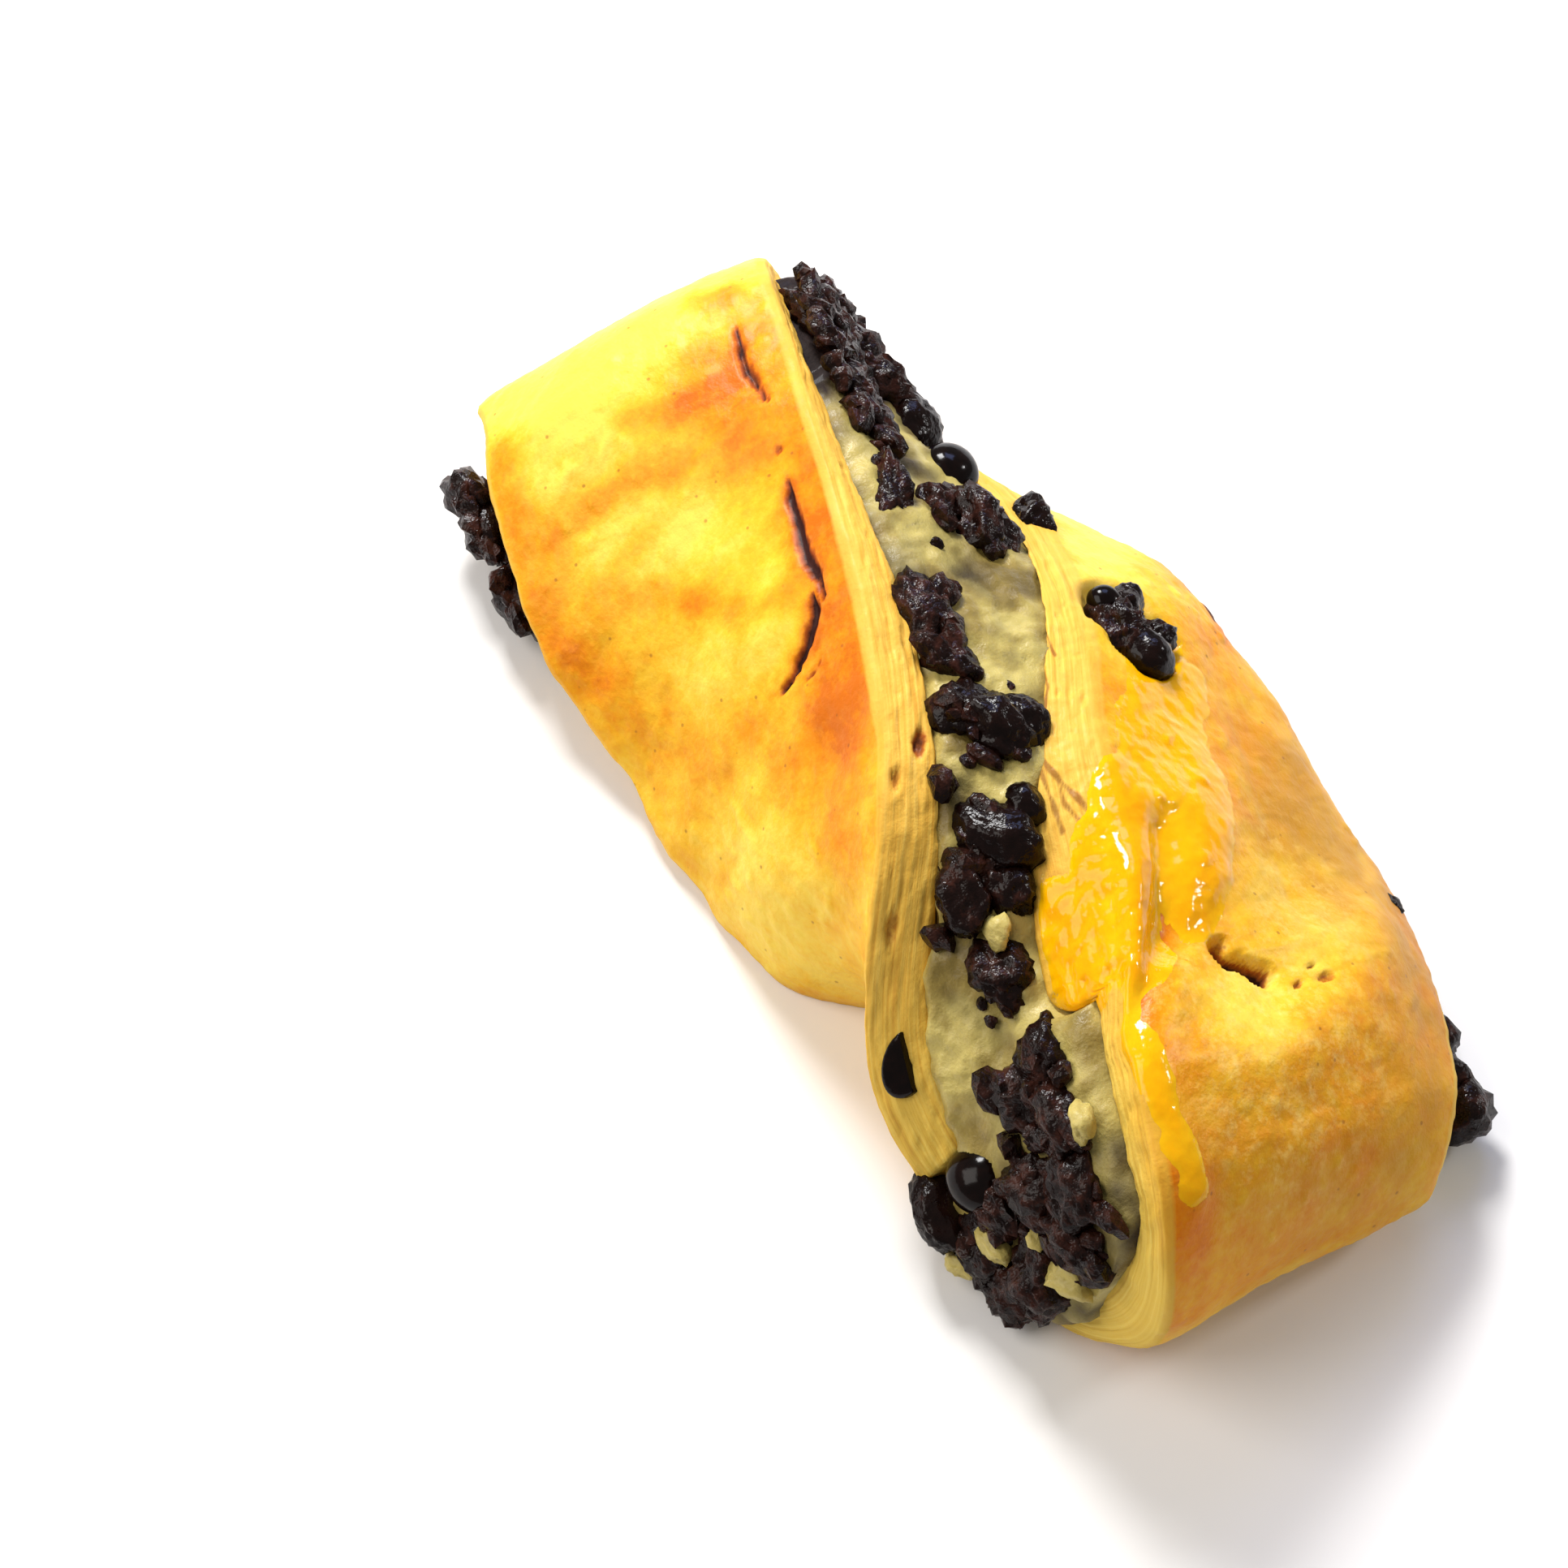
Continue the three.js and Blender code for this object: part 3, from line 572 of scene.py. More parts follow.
def make_custard(material):
    """The filling: a boxy body inside the dough, whose lumpy sides show at the two cut sides."""
    start = FAR_FOLD_START - FAR_FOLD_REACH + FAR_FOLD_DOUGH - OVERFILL
    end = NEAR_FOLD_START + NEAR_FOLD_REACH - NEAR_FOLD_DOUGH + OVERFILL
    nose = 2.5
    level = np.linspace(start, end, round((end - start) / STEP) + 1)[:, None]
    power = 2 / FILLING_CORNER
    corner = 0.5 ** (1 / power)
    shown = np.linspace(-corner, corner, round(20 / STEP))
    hidden = np.linspace(corner, -corner, 26)[1:-1]

    def other(v):
        return (1 - np.abs(v) ** power) ** (1 / power)

    side = np.concatenate([other(shown), hidden, -other(shown), hidden[::-1]])[None]
    height = np.concatenate([shown, other(hidden), shown[::-1], -other(hidden)])[None]
    taper = (rise(-1, nose, level - start) * rise(-1, nose, end - level)) ** 0.4
    opened = rise(UPPER_END - 0.5, UPPER_END + 4, level)
    foot_widths = along(FILLING_HALF_WIDTH_FOOT, level)
    widths = np.where(side > 0, along(FILLING_HALF_WIDTH_SHOWN, level), foot_widths)
    p = side * widths
    in_dough = np.clip(p, -1, 1)
    x = level + NEAR_FOLD_SLANT * in_dough * (level - start) / (end - start)
    depth = faces_at(x, in_dough)[3]
    lowest = -1 + 2 * (wall_at(x, in_dough, -np.ones_like(x)) - OVERFILL) / depth
    highest = mix(1 - 2 * (wall_at(x, in_dough, np.ones_like(x)) - OVERFILL) / depth, 0.96, opened)
    q = (lowest + highest) / 2 + (highest - lowest) / 2 * taper * height
    points = point_at(x, p, q)
    normals = normals_of(points, True)
    outside = np.sum((points - points.mean(1, keepdims=True)) * normals, -1).mean()
    normals *= np.sign(outside)
    lumps = 0.75 * rough(points, 5.5, 71) + 0.28 * noise(points, 1.7, 72) + 0.10 * noise(points, 0.8, 73)
    points = points + normals * lumps[..., None]
    points[..., 2] = np.maximum(points[..., 2], FLOOR_GAP)
    rows, columns = points.shape[:2]
    faces = tube_faces(rows, columns)
    faces.append(list(range(columns))[::-1])
    faces.append([(rows - 1) * columns + i for i in range(columns)])
    # Chocolate is rubbed in most at the two ends, where most chips were crushed.
    rubbed = 1.6 * fall(-60, -48, x) + 0.3 * fall(-25, -5, x) + 0.5 * rise(44, 54, x)
    rubbed = rubbed + 0.8 * noise(points, 5, 76)
    looks = {"creamy": 0.5 + 0.5 * rough(points, 7, 75), "rubbed": np.clip(rubbed, 0, 1)}
    piece = new_piece("custard", points.reshape(-1, 3), faces, material, looks)
    fix_normals(piece)
    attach(piece, "root")
    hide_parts("custard_with_chips")


# ---- the chocolate

# Chips on the shown cut side: x, q, diameter, length over width, and how crushed, from 0 to 1.
SHOWN_CHIPS = [
    (-67.8, 0.5, 7.5, 1.2, 1), (-70, -0.1, 8.5, 1.2, 1), (-71, -0.5, 8.5, 1.2, 1), (-65, 0.45, 9, 1.4, 1),
    (-64, -0.25, 9.5, 1.2, 1), (-59, 0.35, 8.5, 1.4, 1), (-57, -0.25, 9.5, 1.3, 1),
    (-50, -0.5, 9, 1.1, 0.5), (-48, 0.3, 7.5, 1.7, 1), (-40, -0.45, 8, 1, 0), (-34, 0.45, 6.5, 1.9, 1),
    (-31, -0.08, 8.5, 1.2, 1), (-26.5, -0.33, 10, 1.2, 0.9), (-14.5, 0.48, 6.5, 1.9, 1),
    (-8, 0.3, 6.5, 1.4, 0.9), (-1, 0.25, 8, 1.2, 0.7), (2, -0.02, 9.5, 1.2, 0.6), (3, -0.3, 7, 1.1, 0.5),
    (13, -0.3, 6, 1, 0.3), (14.5, -0.05, 9, 1.3, 0.5), (18, 0.18, 8.5, 1.3, 0.8),
    (20, -0.12, 7.5, 1.2, 0.7), (28, -0.08, 8, 1.2, 0.9), (39, -0.3, 8.5, 1.1, 0.8),
    (42, -0.15, 9, 1.2, 0.9), (46.5, -0.3, 9, 1.3, 0.9), (44, 0.52, 8.5, 1, 0), (50, 0.05, 10, 1.2, 0.9),
    (53.5, -0.3, 9, 1.2, 0.9), (57, 0.02, 9.5, 1.2, 1), (49.5, 0.72, 9, 1.1, 0.8),
    (55.5, 0.5, 10, 1.2, 1), (55.5, 0.9, 8, 1.1, 1), (43, 0.95, 7, 1.6, 0.5),
]
# Broken bits of chip between the whole ones: from x, to x, from q, to q, how many.
CRUMB_FIELDS = [
    (-71, -55, -0.7, 0.85, 95), (-75, -66, -0.5, 0.28, 75), (-68, -60, 0.1, 0.44, 45),
    (-62, -46, 0.36, 0.62, 50), (-54, -38, 0.2, 0.7, 16), (-34, -22, -0.5, 0.2, 8), (-17, -8, 0.2, 0.6, 12),
    (-4, 8, -0.4, 0.5, 18), (11, 22, -0.4, 0.4, 14), (26, 34, -0.2, 0.1, 6),
    (37, 47, -0.5, 0.1, 20), (47, 61, -0.6, 0.95, 80),
]
CRUMB_SIZES = (1.6, 4.4)
# The same on the other cut side, where it looks out from under the upper layer.
FOOT_CRUMB_FIELDS = [(-74, -48, 0.3, 0.85, 70)]
# Dabs of custard that were pressed out between the chips: x, q, and how wide.
DABS = [(50.5, 0.6, 4), (60, 0.2, 4.5), (49.5, -0.62, 3.5), (49, 0.97, 3), (54, 0.25, 2.6),
        (24, -0.15, 3.5)]
# Chips on the other cut side, where it shows at the two ends: from x, to x, how many, q.
FOOT_CHIP_ROWS = [(-73, -45, 6, 0.45), (41, 61, 5, -0.15)]
FOOT_CHIPS_PROUD = 0.08
# Chips that break through the lower layer's face: x, p, diameter, how crushed, and the share of its
# diameter that its middle lies below the crust.
FACE_CHIPS = [
    (-29, 0.84, 7.5, 0.6, 0.5), (-11, 0.84, 4.2, 0.0, 0.1), (-10.2, 0.66, 6, 0.5, 0.25),
    (-6.5, 0.7, 8.5, 0.9, 0.25), (-2.8, 0.58, 7.5, 0.3, 0.22), (-5.2, 0.5, 5, 0.6, 0.25),
    (34, -0.8, 4.2, 0.6, 0.3),
]
FOOT_CHIP_SEED, FACE_CHIP_SEED, CRUMB_SEED, DAB_SEED = 40, 60, 100, 500
CHIP = 8                 # millimetres across a whole one
FACETS = 13              # flat breaks on a crushed one
CUT_CHIP_X, CUT_CHIP_Q, CUT_CHIP = 29, 0.7, 7.4


def ball(detail):
    """Directions and triangles of an even ball."""
    work = bmesh.new()
    bmesh.ops.create_icosphere(work, subdivisions=detail, radius=1)
    points = np.array([v.co for v in work.verts])
    faces = [[v.index for v in face.verts] for face in work.faces]
    work.free()
    return points, faces


def turned(points, about_x, about_z):
    c, s = math.cos(about_x), math.sin(about_x)
    points = points @ np.array([[1, 0, 0], [0, c, s], [0, -s, c]])
    c, s = math.cos(about_z), math.sin(about_z)
    return points @ np.array([[c, s, 0], [-s, c, 0], [0, 0, 1]])


def chip(shape, centre, diameter, longer, crushed, seed):
    """One chip: a squashed ball, from smooth and round to a broken lump with flat facets and folds."""
    rng = np.random.default_rng(seed)
    breaks = rng.normal(size=(FACETS, 3))
    breaks /= np.linalg.norm(breaks, axis=1, keepdims=True)
    reach = rng.uniform(0.72, 1.05, FACETS)
    broken = np.minimum(reach / np.maximum(shape @ breaks.T, 0.3), 1.15).min(1)
    soft = 0.06 * noise(shape + seed * 3.7, 1.1, 81)
    folds = np.abs(noise(shape + seed * 5.3, 0.42, 82))
    crumple = crushed * (0.16 * noise(shape + seed * 1.9, 0.6, 83) - 0.5 * np.clip(0.3 - folds, 0, 1))
    grain = (0.006 + 0.10 * crushed) * rough(shape + seed * 2.3, 0.26, 84, 2)
    creases = np.abs(noise(shape + seed * 4.1, 0.3, 85))
    grain = grain - 0.45 * crushed * np.clip(0.2 - creases, 0, 1)
    body = shape * (mix(1, broken, crushed) + soft + crumple + grain)[:, None] * (diameter / 2)
    body = turned(body * (longer, 1, 0.85), 1.7 * seed, 0.5 * math.sin(2.4 * seed)) + centre
    body[:, 2] = np.maximum(body[:, 2], FLOOR_GAP)
    return body


def add_chip(parts, shape, centre, diameter, longer, crushed, seed, look=None):
    """Adds one chip to a list of bodies, with how much of the piece's look it has."""
    body = chip(shape[0], centre, diameter, longer, crushed, seed)
    parts.append((body, shape[1], crushed if look is None else look))


def shown_chip_place(x, q):
    width = along(FILLING_HALF_WIDTH_SHOWN, x) - 0.05
    return point_at(x, width, q)


def make_chips(material):
    """Every chip in the filling, joined into one mesh."""
    fine = ball(4)
    coarse = ball(3)
    parts = []
    for number, (x, q, diameter, longer, crushed) in enumerate(SHOWN_CHIPS):
        centre = shown_chip_place(x, q)
        centre[2] = max(centre[2], diameter * longer / 2 + FLOOR_GAP)
        add_chip(parts, fine, centre, diameter, longer, crushed, number)
    for start, end, count, q in FOOT_CHIP_ROWS:
        for i in range(count):
            x = mix(start, end, i / (count - 1))
            width = -along(FILLING_HALF_WIDTH_FOOT, x) - FOOT_CHIPS_PROUD
            centre = point_at(x, width, q + 0.25 * math.sin(2.6 * i))
            centre[2] = max(centre[2], 1.15 * CHIP / 2 + FLOOR_GAP)
            add_chip(parts, coarse, centre, CHIP - 0.6 * (i % 3), 1.15, 0.8, FOOT_CHIP_SEED + i)
    piece = joined("chocolate_chips", parts, material)
    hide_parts("custard_with_chips")


def make_crumbs(material):
    """The broken bits of chocolate that are pressed into the filling's shown side."""
    rng = np.random.default_rng(5)
    shape = ball(2)
    parts = []
    for start, end, low, high, count in CRUMB_FIELDS:
        for _ in range(count):
            x, q = rng.uniform(start, end), rng.uniform(low, high)
            size = mix(*CRUMB_SIZES, rng.random() ** 1.5)
            width = along(FILLING_HALF_WIDTH_SHOWN, x) + 0.2 * size / HALF_WIDTH
            centre = point_at(x, width, q)
            add_chip(parts, shape, centre, size, rng.uniform(1, 1.7), 1, CRUMB_SEED + len(parts))
    for start, end, low, high, count in FOOT_CRUMB_FIELDS:
        for _ in range(count):
            x, q = rng.uniform(start, end), rng.uniform(low, high)
            size = rng.uniform(2.2, CRUMB_SIZES[1])
            centre = point_at(x, -along(FILLING_HALF_WIDTH_FOOT, x) - 0.1 * size / HALF_WIDTH, q)
            add_chip(parts, shape, centre, size, rng.uniform(1, 1.5), 1, CRUMB_SEED + len(parts))
    piece = joined("chocolate_crumbs", parts, material, smooth=False)
    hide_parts("custard_with_chips")


def make_dabs(material):
    """The dabs of custard between the chips."""
    shape = ball(3)
    parts = []
    for number, (x, q, width) in enumerate(DABS):
        out = along(FILLING_HALF_WIDTH_SHOWN, x) + 0.25 * width / HALF_WIDTH
        add_chip(parts, shape, point_at(x, out, q), width, 1.5, 1, DAB_SEED + number, look=0.9)
    piece = joined("custard_dabs", parts, material, "creamy")
    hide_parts("custard_with_chips")


def make_face_chips(material):
    """The chips that have broken through the crust."""
    fine = ball(4)
    parts = []
    for number, (x, p, diameter, crushed, sunk) in enumerate(FACE_CHIPS):
        centre = point_at(x, p, -1.0, -sunk * diameter)
        add_chip(parts, fine, centre, diameter, 1.1, crushed, FACE_CHIP_SEED + number)
    parts.append((cut_chip(fine[0]), fine[1], 0.1))
    piece = joined("chips_in_crust", parts, material)
    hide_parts("dough")


def cut_chip(shape):
    """The chip that the knife halved: half a disc flush with the upper layer's cut side."""
    place = point_at(CUT_CHIP_X, 1.0, CUT_CHIP_Q)
    ways = [point_at(CUT_CHIP_X + 2, 1.0, CUT_CHIP_Q), point_at(CUT_CHIP_X, 1.0, CUT_CHIP_Q + 0.15),
            point_at(CUT_CHIP_X, 1.06, CUT_CHIP_Q)]
    length, height, depth = ((way - place) / np.linalg.norm(way - place) for way in ways)
    # A drum: the ball pushed out to a flat top and an upright rim, then cut off along its middle.
    reach = (np.hypot(shape[:, 0], shape[:, 1]) ** 6 + np.abs(shape[:, 2]) ** 6) ** (1 / 6)
    drum = shape / reach[:, None]
    high = np.maximum(drum[:, 1], -0.1)
    size = CUT_CHIP / 2
    flat = np.outer(size * drum[:, 0], length) + np.outer(size * high, height)
    return place + flat + np.outer(1.1 * drum[:, 2], depth)


def joined(name, parts, material, look="crushed", smooth=True):
    """One piece from (points, faces, how much of the look) of several bodies."""
    points, faces, amounts = [], [], []
    for part_points, part_faces, amount in parts:
        offset = sum(len(p) for p in points)
        points.append(part_points)
        faces += [[i + offset for i in face] for face in part_faces]
        amounts.append(np.full(len(part_points), amount))
    looks = {look: np.concatenate(amounts)}
    piece = new_piece(name, np.concatenate(points), faces, material, looks, smooth)
    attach(piece, "root")
    return piece


# ---- the glaze

def make_glaze(material):
    """The syrup: a film over the dough, rounded down to nothing at its edges."""
    stops = dough_stops(GLAZE_STEP)
    before_fold = (stops[:, 2] == math.pi) & (stops[:, 0] >= -6)
    on_fold = (stops[:, 1] < 0) & (stops[:, 2] < 1.5)
    stops = stops[before_fold | on_fold]
    p_face = np.linspace(-0.2, RIM, round(1.17 * HALF_WIDTH / GLAZE_STEP))
    deep_side = np.linspace(0, 0.97, round(10 / GLAZE_STEP))[1:]
    round_side = cut_side_at(deep_side)
    p = np.concatenate([p_face, round_side])
    deep = np.concatenate([np.zeros(len(p_face)), deep_side])
    points, normals, fields, _ = raised(stops, p[None], deep[None], False)
    x = fields["x"]
    # On the cut side a point counts as further out by how deep it lies.
    past = fields["p"] + fields["deep"] * fields["wall"] / HALF_WIDTH
    cover = wet_at(GLAZE_POOLS, x, past, points, 0)
    wrinkles = 0.4 - np.sqrt(noise(points, 5, 92) ** 2 + 0.02)
    height = cover + rise(0, 0.4, cover) * (0.22 * wrinkles + 0.05 * noise(points, 2, 93)) - 0.1
    top = points + normals * height[..., None]
    bottom = points - normals * 0.5
    wet = cover > 0
    cells = wet[:-1, :-1] | wet[1:, :-1] | wet[:-1, 1:] | wet[1:, 1:]
    piece = shell("syrup_glaze", top, bottom, cells, material, {"thick": np.clip(cover, 0, 1)})
    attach(piece, "root")


def shell(name, top, bottom, cells, material, looks):
    """A closed skin between two grids of points, over the marked cells of the grid."""
    rows, columns = top.shape[:2]
    count = rows * columns
    faces = []
    for r, c in zip(*np.nonzero(cells)):
        a, b = r * columns + c, r * columns + c + 1
        d, e = a + columns, b + columns
        faces.append((a, b, e, d))
        faces.append((a + count, d + count, e + count, b + count))
        sides = [(r - 1, c, a, b), (r + 1, c, e, d), (r, c - 1, d, a), (r, c + 1, b, e)]
        for nr, nc, i, j in sides:
            inside = 0 <= nr < rows - 1 and 0 <= nc < columns - 1
            if not (inside and cells[nr, nc]):
                faces.append((j, i, i + count, j + count))
    used = sorted({i for face in faces for i in face})
    place = {old: new for new, old in enumerate(used)}
    points = np.concatenate([top.reshape(-1, 3), bottom.reshape(-1, 3)])[used]
    kept = {key: np.concatenate([v.ravel(), v.ravel()])[used] for key, v in looks.items()}
    piece = new_piece(name, points, [[place[i] for i in face] for face in faces], material, kept)
    fix_normals(piece)
    return piece


# ---- finishes

def colour(hex_code):
    """An sRGB hex value as linear red, green, blue and alpha."""
    channels = [int(hex_code[i:i + 2], 16) / 255 for i in (1, 3, 5)]
    return [c / 12.92 if c <= 0.04045 else ((c + 0.055) / 1.055) ** 2.4 for c in channels] + [1.0]


def add(tree, kind, inputs=None, stops=(), **settings):
    """Adds a node; an input gets a value, or a link where another node's output is given."""
    made = tree.nodes.new(kind)
    for key, value in settings.items():
        setattr(made, key, value)
    for key, value in (inputs or {}).items():
        if isinstance(value, bpy.types.NodeSocket):
            tree.links.new(value, made.inputs[key])
        else:
            made.inputs[key].default_value = value
    if stops:
        ramp = made.color_ramp
        while len(ramp.elements) < len(stops):
            ramp.elements.new(0.5)
        for element, (place, hex_code) in zip(ramp.elements, stops):
            element.position = place
            element.color = colour(hex_code)
    return made


def look_of(tree, name):
    """A look that was stored with the mesh's points."""
    return add(tree, "ShaderNodeAttribute", attribute_name=name).outputs["Fac"]


def place_of(tree):
    """Where a point lies on its own piece."""
    return add(tree, "ShaderNodeTexCoord").outputs["Object"]


def clouds_of(tree, size, detail, roughness):
    """A noise whose lumps are size millimetres across."""
    inputs = {"Scale": 1 / (size * MM), "Detail": detail, "Roughness": roughness, "Vector": place_of(tree)}
    return add(tree, "ShaderNodeTexNoise", inputs).outputs["Fac"]


def scaled(tree, value, factor, plus=0.0):
    return add(tree, "ShaderNodeMath", {0: value, 1: factor, 2: plus}, operation="MULTIPLY_ADD").outputs[0]


def both(tree, a, b, operation):
    return add(tree, "ShaderNodeMath", {0: a, 1: b}, operation=operation).outputs[0]


def ranged(tree, value, start, end, low=0.0, high=1.0):
    """The way of value from start to end, as one from low to high."""
    inputs = {"Value": value, "From Min": start, "From Max": end, "To Min": low, "To Max": high}
    return add(tree, "ShaderNodeMapRange", inputs).outputs["Result"]


def ramp_of(tree, value, stops):
    return add(tree, "ShaderNodeValToRGB", {"Fac": value}, stops).outputs["Color"]


def covered(tree, under, share, over, **settings):
    """One colour laid over another; share is how much of it shows."""
    inputs = {0: share, 6: under, 7: over}
    return add(tree, "ShaderNodeMix", inputs, data_type="RGBA", **settings).outputs[2]


def bumped(tree, height, strength, size):
    """Surface relief from a height; size in millimetres."""
    inputs = {"Height": height, "Strength": strength, "Distance": size * MM}
    return add(tree, "ShaderNodeBump", inputs).outputs["Normal"]


def new_material(name):
    material = bpy.data.materials.new(name)
    material.use_nodes = True
    material.node_tree.nodes.clear()
    return material, material.node_tree


def finished(material, inputs):
    """Ends a material in one surface shader."""
    tree = material.node_tree
    surface = add(tree, "ShaderNodeBsdfPrincipled", inputs).outputs[0]
    add(tree, "ShaderNodeOutputMaterial", {"Surface": surface})
    return material


def baked_dough():
    """Egg-washed laminated dough, baked: a satin golden crust, and pale leaves where it is cut."""
    material, tree = new_material("baked_dough_egg_washed")
    cut = look_of(tree, "cut")
    scorch_and_shade = look_of(tree, "scorch_and_shade")
    lengthwise = look_of(tree, "along_mm")

    # Mottling of the crust: patches of 5 mm and grain of 0.8 mm.
    grain = clouds_of(tree, 0.8, 3, 0.6)
    mottled = scaled(tree, clouds_of(tree, 5, 6, 0.6), 0.7, -0.35)
    uneven = both(tree, mottled, scaled(tree, grain, 0.35, -0.175), "ADD")
    # The crust's colour follows its browning, which also carries painted shade.
    crust = ramp_of(tree, both(tree, look_of(tree, "browning_and_shade"), uneven, "ADD"), [
        (0.08, "#F2CE4C"), (0.34, "#ECB628"), (0.56, "#E59E16"), (0.78, "#E0860A"), (1.0, "#CA6606"),
    ])
    # Painted shade: the lower layer's side that turns from the light is drawn a deeper, duller gold.
    crust = covered(tree, crust, look_of(tree, "side_shade"), colour("#BE8420"))
    # Dry flakes catch the light as pale patches about 2 mm across.
    flecks = ranged(tree, clouds_of(tree, 2.0, 5, 0.75), 0.48, 0.78, high=0.7)
    crust = covered(tree, crust, both(tree, flecks, look_of(tree, "flaky"), "MULTIPLY"), colour("#F8D67A"))
    # Sparse dark specks 3.2 mm apart.
    inputs = {"Scale": 1 / (3.2 * MM), "Randomness": 1.0, "Vector": place_of(tree)}
    specks = add(tree, "ShaderNodeTexVoronoi", inputs).outputs["Distance"]
    crust = covered(tree, crust, ranged(tree, specks, 0.10, 0.05, high=0.55), colour("#8A4A1C"))

    # Cut sides: leaves of dough 0.6 mm thick and 14 mm long.
    leaf_place = add(tree, "ShaderNodeCombineXYZ", {
        0: scaled(tree, lengthwise, 1 / 14), 1: scaled(tree, look_of(tree, "depth_mm"), 1 / 0.6),
    }).outputs[0]
    inputs = {"Scale": 1.0, "Detail": 4, "Roughness": 0.55, "Vector": leaf_place}
    leaves = add(tree, "ShaderNodeTexNoise", inputs).outputs["Fac"]
    dry_crumb = ramp_of(tree, leaves, [
        (0.30, "#D69A36"), (0.42, "#E4AE42"), (0.58, "#EBBB50"), (0.75, "#F0C862"),
    ])
    # Towards the near end the crumb is moist with custard, and a paler, greener yellow.
    moist_crumb = ramp_of(tree, leaves, [
        (0.30, "#C49A3E"), (0.44, "#D8B34A"), (0.60, "#E0C058"), (0.80, "#E8CE70"),
    ])
    crumb = covered(tree, dry_crumb, ranged(tree, lengthwise, 5, 45), moist_crumb)
    base = covered(tree, crust, cut, crumb)

    # Melted chocolate wiped over the cut in thin lines, and edges that caught and charred, with painted
    # shade that darkens the splits, holes and pits to near black.
    smeared = ranged(tree, look_of(tree, "smear_mm"), 0.34, 0.04, high=0.65)
    base = covered(tree, base, smeared, colour("#6A220C"))
    torn = both(tree, scorch_and_shade, scaled(tree, grain, 0.4, -0.2), "ADD")
    base = covered(tree, base, ranged(tree, torn, 0.08, 0.4, high=0.9), colour("#9A430F"))
    base = covered(tree, base, ranged(tree, torn, 0.4, 0.8), colour("#32110B"))
    # Syrup that has soaked in deepens the gold and makes the crust wet.
    soaked = add(tree, "ShaderNodeMath", {0: look_of(tree, "wet"), 1: 1.6}, operation="MULTIPLY",
                 use_clamp=True).outputs[0]
    amber = covered(tree, base, soaked, colour("#FFD848"), blend_type="MULTIPLY")
    base = covered(tree, base, 0.85, amber)

    dullness = ranged(tree, both(tree, cut, scorch_and_shade, "MAXIMUM"), 0, 1, 0.42, 0.66)
    inputs = {"Factor": soaked, "A": dullness, "B": 0.14}
    wet_dullness = add(tree, "ShaderNodeMix", inputs).outputs["Result"]
    return finished(material, {
        "Base Color": base, "Roughness": wet_dullness, "IOR": 1.4, "Specular IOR Level": 0.17,
        "Normal": bumped(tree, scaled(tree, grain, 1.0, leaves), 0.35, 0.35),
        "Coat Weight": 0.04, "Coat Roughness": 0.2,
        "Subsurface Weight": 0.08, "Subsurface Radius": (1.0, 0.5, 0.2), "Subsurface Scale": 1.5 * MM,
    })


def baked_custard():
    """Set vanilla custard: a pale olive cream, moist, and dull where chocolate was rubbed into it."""
    material, tree = new_material("baked_custard")
    rubbed = look_of(tree, "rubbed")
    tone = scaled(tree, clouds_of(tree, 3.5, 5, 0.6), 0.6, look_of(tree, "creamy"))
    cream = ramp_of(tree, tone, [(0.35, "#72602C"), (0.65, "#968140"), (0.95, "#BCAA60")])
    return finished(material, {
        "Base Color": covered(tree, cream, rubbed, colour("#1E0F0C")),
        "Roughness": ranged(tree, rubbed, 0, 1, 0.36, 0.75), "IOR": 1.42, "Specular IOR Level": 0.35,
        "Normal": bumped(tree, clouds_of(tree, 0.7, 3, 0.6), 0.45, 0.4),
        "Coat Weight": 0.08, "Coat Roughness": 0.12, "Coat IOR": 1.35,
        "Subsurface Weight": 0.2, "Subsurface Radius": (1.0, 0.8, 0.4), "Subsurface Scale": 1.5 * MM,
    })


def dark_chocolate():
    """Dark chocolate, melted and set again: near black, glossy where whole, browner where crushed."""
    material, tree = new_material("dark_chocolate")
    crushed = look_of(tree, "crushed")
    dull = scaled(tree, crushed, 0.35, clouds_of(tree, 2, 5, 0.65))
    # Crushed chips are finely crumpled, which breaks their shine into sparks.
    crumple = ranged(tree, crushed, 0, 1, 0.04, 0.6)
    return finished(material, {
        "Base Color": ramp_of(tree, dull, [(0.45, "#0A0403"), (0.80, "#170A07"), (1.0, "#3A1E16")]),
        "Roughness": ranged(tree, crushed, 0, 1, 0.14, 0.24), "IOR": 1.5, "Specular IOR Level": 0.15,
        "Normal": bumped(tree, clouds_of(tree, 1.0, 2, 0.6), crumple, 0.6),
    })


def sugar_syrup():
    """Boiled sugar glaze: amber over the crust, wet-looking, with sharp white highlights."""
    material, tree = new_material("sugar_syrup")
    tone = scaled(tree, clouds_of(tree, 4, 3, 0.5), 0.6, look_of(tree, "thick"))
    return finished(material, {
        "Base Color": ramp_of(tree, tone, [(0.25, "#F6BA10"), (0.60, "#F4A800"), (0.95, "#EC9400")]),
        "Roughness": 0.07, "IOR": 1.45, "Specular IOR Level": 0.26,
        "Normal": bumped(tree, clouds_of(tree, 1.4, 2, 0.4), 0.3, 0.4),
        "Subsurface Weight": 0.25, "Subsurface Radius": (1.0, 0.45, 0.08), "Subsurface Scale": 2 * MM,
    })


def white_table():
    """A matt white table top, which lets the soft shadow show."""
    material, _ = new_material("matt_white_table")
    return finished(material, {"Base Color": colour("#F4F2F0"), "Roughness": 0.9})


# ---- floor, lights and camera

CAMERA_AZIMUTH = 62
CAMERA_ELEVATION = 62
CAMERA_DISTANCE = 420
LOOK_AT = (-5.1, -23.4, 17.4)
FOCAL_PIXELS = 4200
PICTURE_PIXELS = 1932
SENSOR_WIDTH = 36


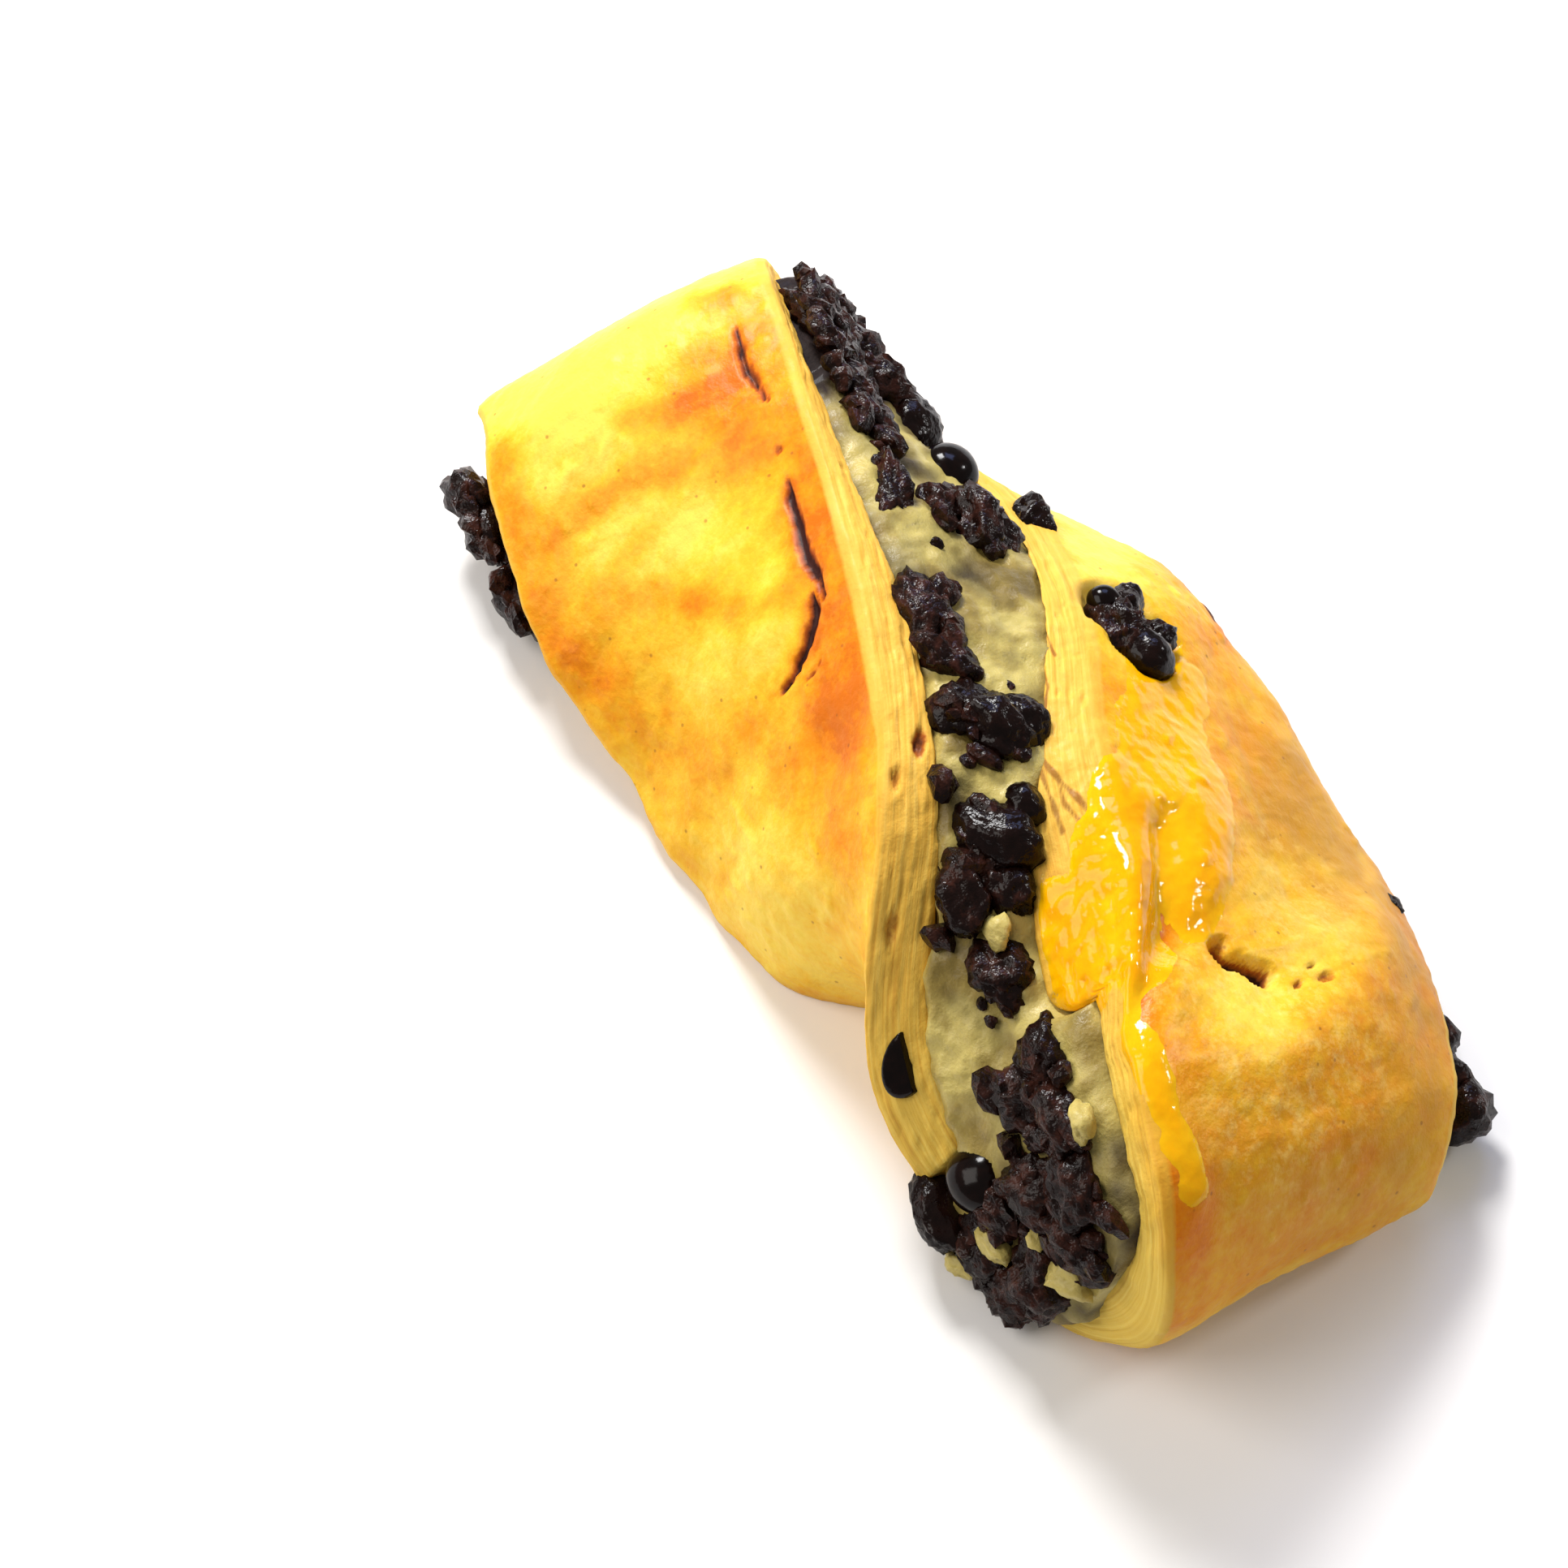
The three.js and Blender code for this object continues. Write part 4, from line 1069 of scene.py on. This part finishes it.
def direction(azimuth, elevation):
    """From the object towards a camera or light; azimuth 0 stands at -Y and 90 at +X."""
    a, e = math.radians(azimuth), math.radians(elevation)
    return np.array([math.sin(a) * math.cos(e), -math.cos(a) * math.cos(e), math.sin(e)])


def aim(thing, azimuth, elevation, distance, target=(0, 0, 15)):
    """Stands a camera or light off its target and turns it there."""
    away = direction(azimuth, elevation)
    thing.location = (np.array(target) + away * distance) * MM
    a, e = math.radians(azimuth), math.radians(elevation)
    thing.rotation_euler = (math.pi / 2 - e, 0, a)


def make_camera():
    data = bpy.data.cameras.new("camera")
    data.sensor_width = SENSOR_WIDTH
    data.lens = SENSOR_WIDTH * FOCAL_PIXELS / PICTURE_PIXELS
    camera = placed("camera", data)
    aim(camera, CAMERA_AZIMUTH, CAMERA_ELEVATION, CAMERA_DISTANCE, LOOK_AT)
    bpy.context.scene.camera = camera


# Each light: azimuth, elevation, distance and size in millimetres, how bright a white card that
# faces it looks, and colour.
LIGHTS = {
    "key_behind": (260, 42, 900, 240, 1.2, "#FFFFFF"),
    "cool_window": (228, 40, 700, 230, 0.2, "#A8BCFF"),
    "fill_left": (330, 45, 900, 600, 0.62, "#FFFAF4"),
    "window_right": (172, 28, 800, 110, 0.22, "#FFFFFF"),
}
WATTS = 9.87             # for a card one metre away to look as bright as white paper
WORLD = 0.3


def make_lights():
    for name, (azimuth, elevation, distance, size, bright, tint) in LIGHTS.items():
        data = bpy.data.lights.new(name, "AREA")
        data.size = size * MM
        data.energy = WATTS * (distance * MM) ** 2 * bright
        data.color = colour(tint)[:3]
        aim(placed(name, data), azimuth, elevation, distance)
    world = bpy.data.worlds.new("studio")
    world.use_nodes = True
    world.node_tree.nodes["Background"].inputs["Color"].default_value = colour("#FBFAFA")
    world.node_tree.nodes["Background"].inputs["Strength"].default_value = WORLD
    bpy.context.scene.world = world


def make_floor():
    work = bmesh.new()
    bmesh.ops.create_grid(work, x_segments=1, y_segments=1, size=4)
    mesh = bpy.data.meshes.new("table_top")
    work.to_mesh(mesh)
    work.free()
    mesh.materials.append(white_table())
    floor = placed("table_top", mesh)


custard_look = baked_custard()
chocolate_look = dark_chocolate()
make_dough(baked_dough())
make_custard(custard_look)
make_dabs(custard_look)
make_chips(chocolate_look)
make_crumbs(chocolate_look)
make_face_chips(chocolate_look)
make_glaze(sugar_syrup())
make_floor()
make_lights()
make_camera()
bpy.context.scene.view_settings.view_transform = "Standard"
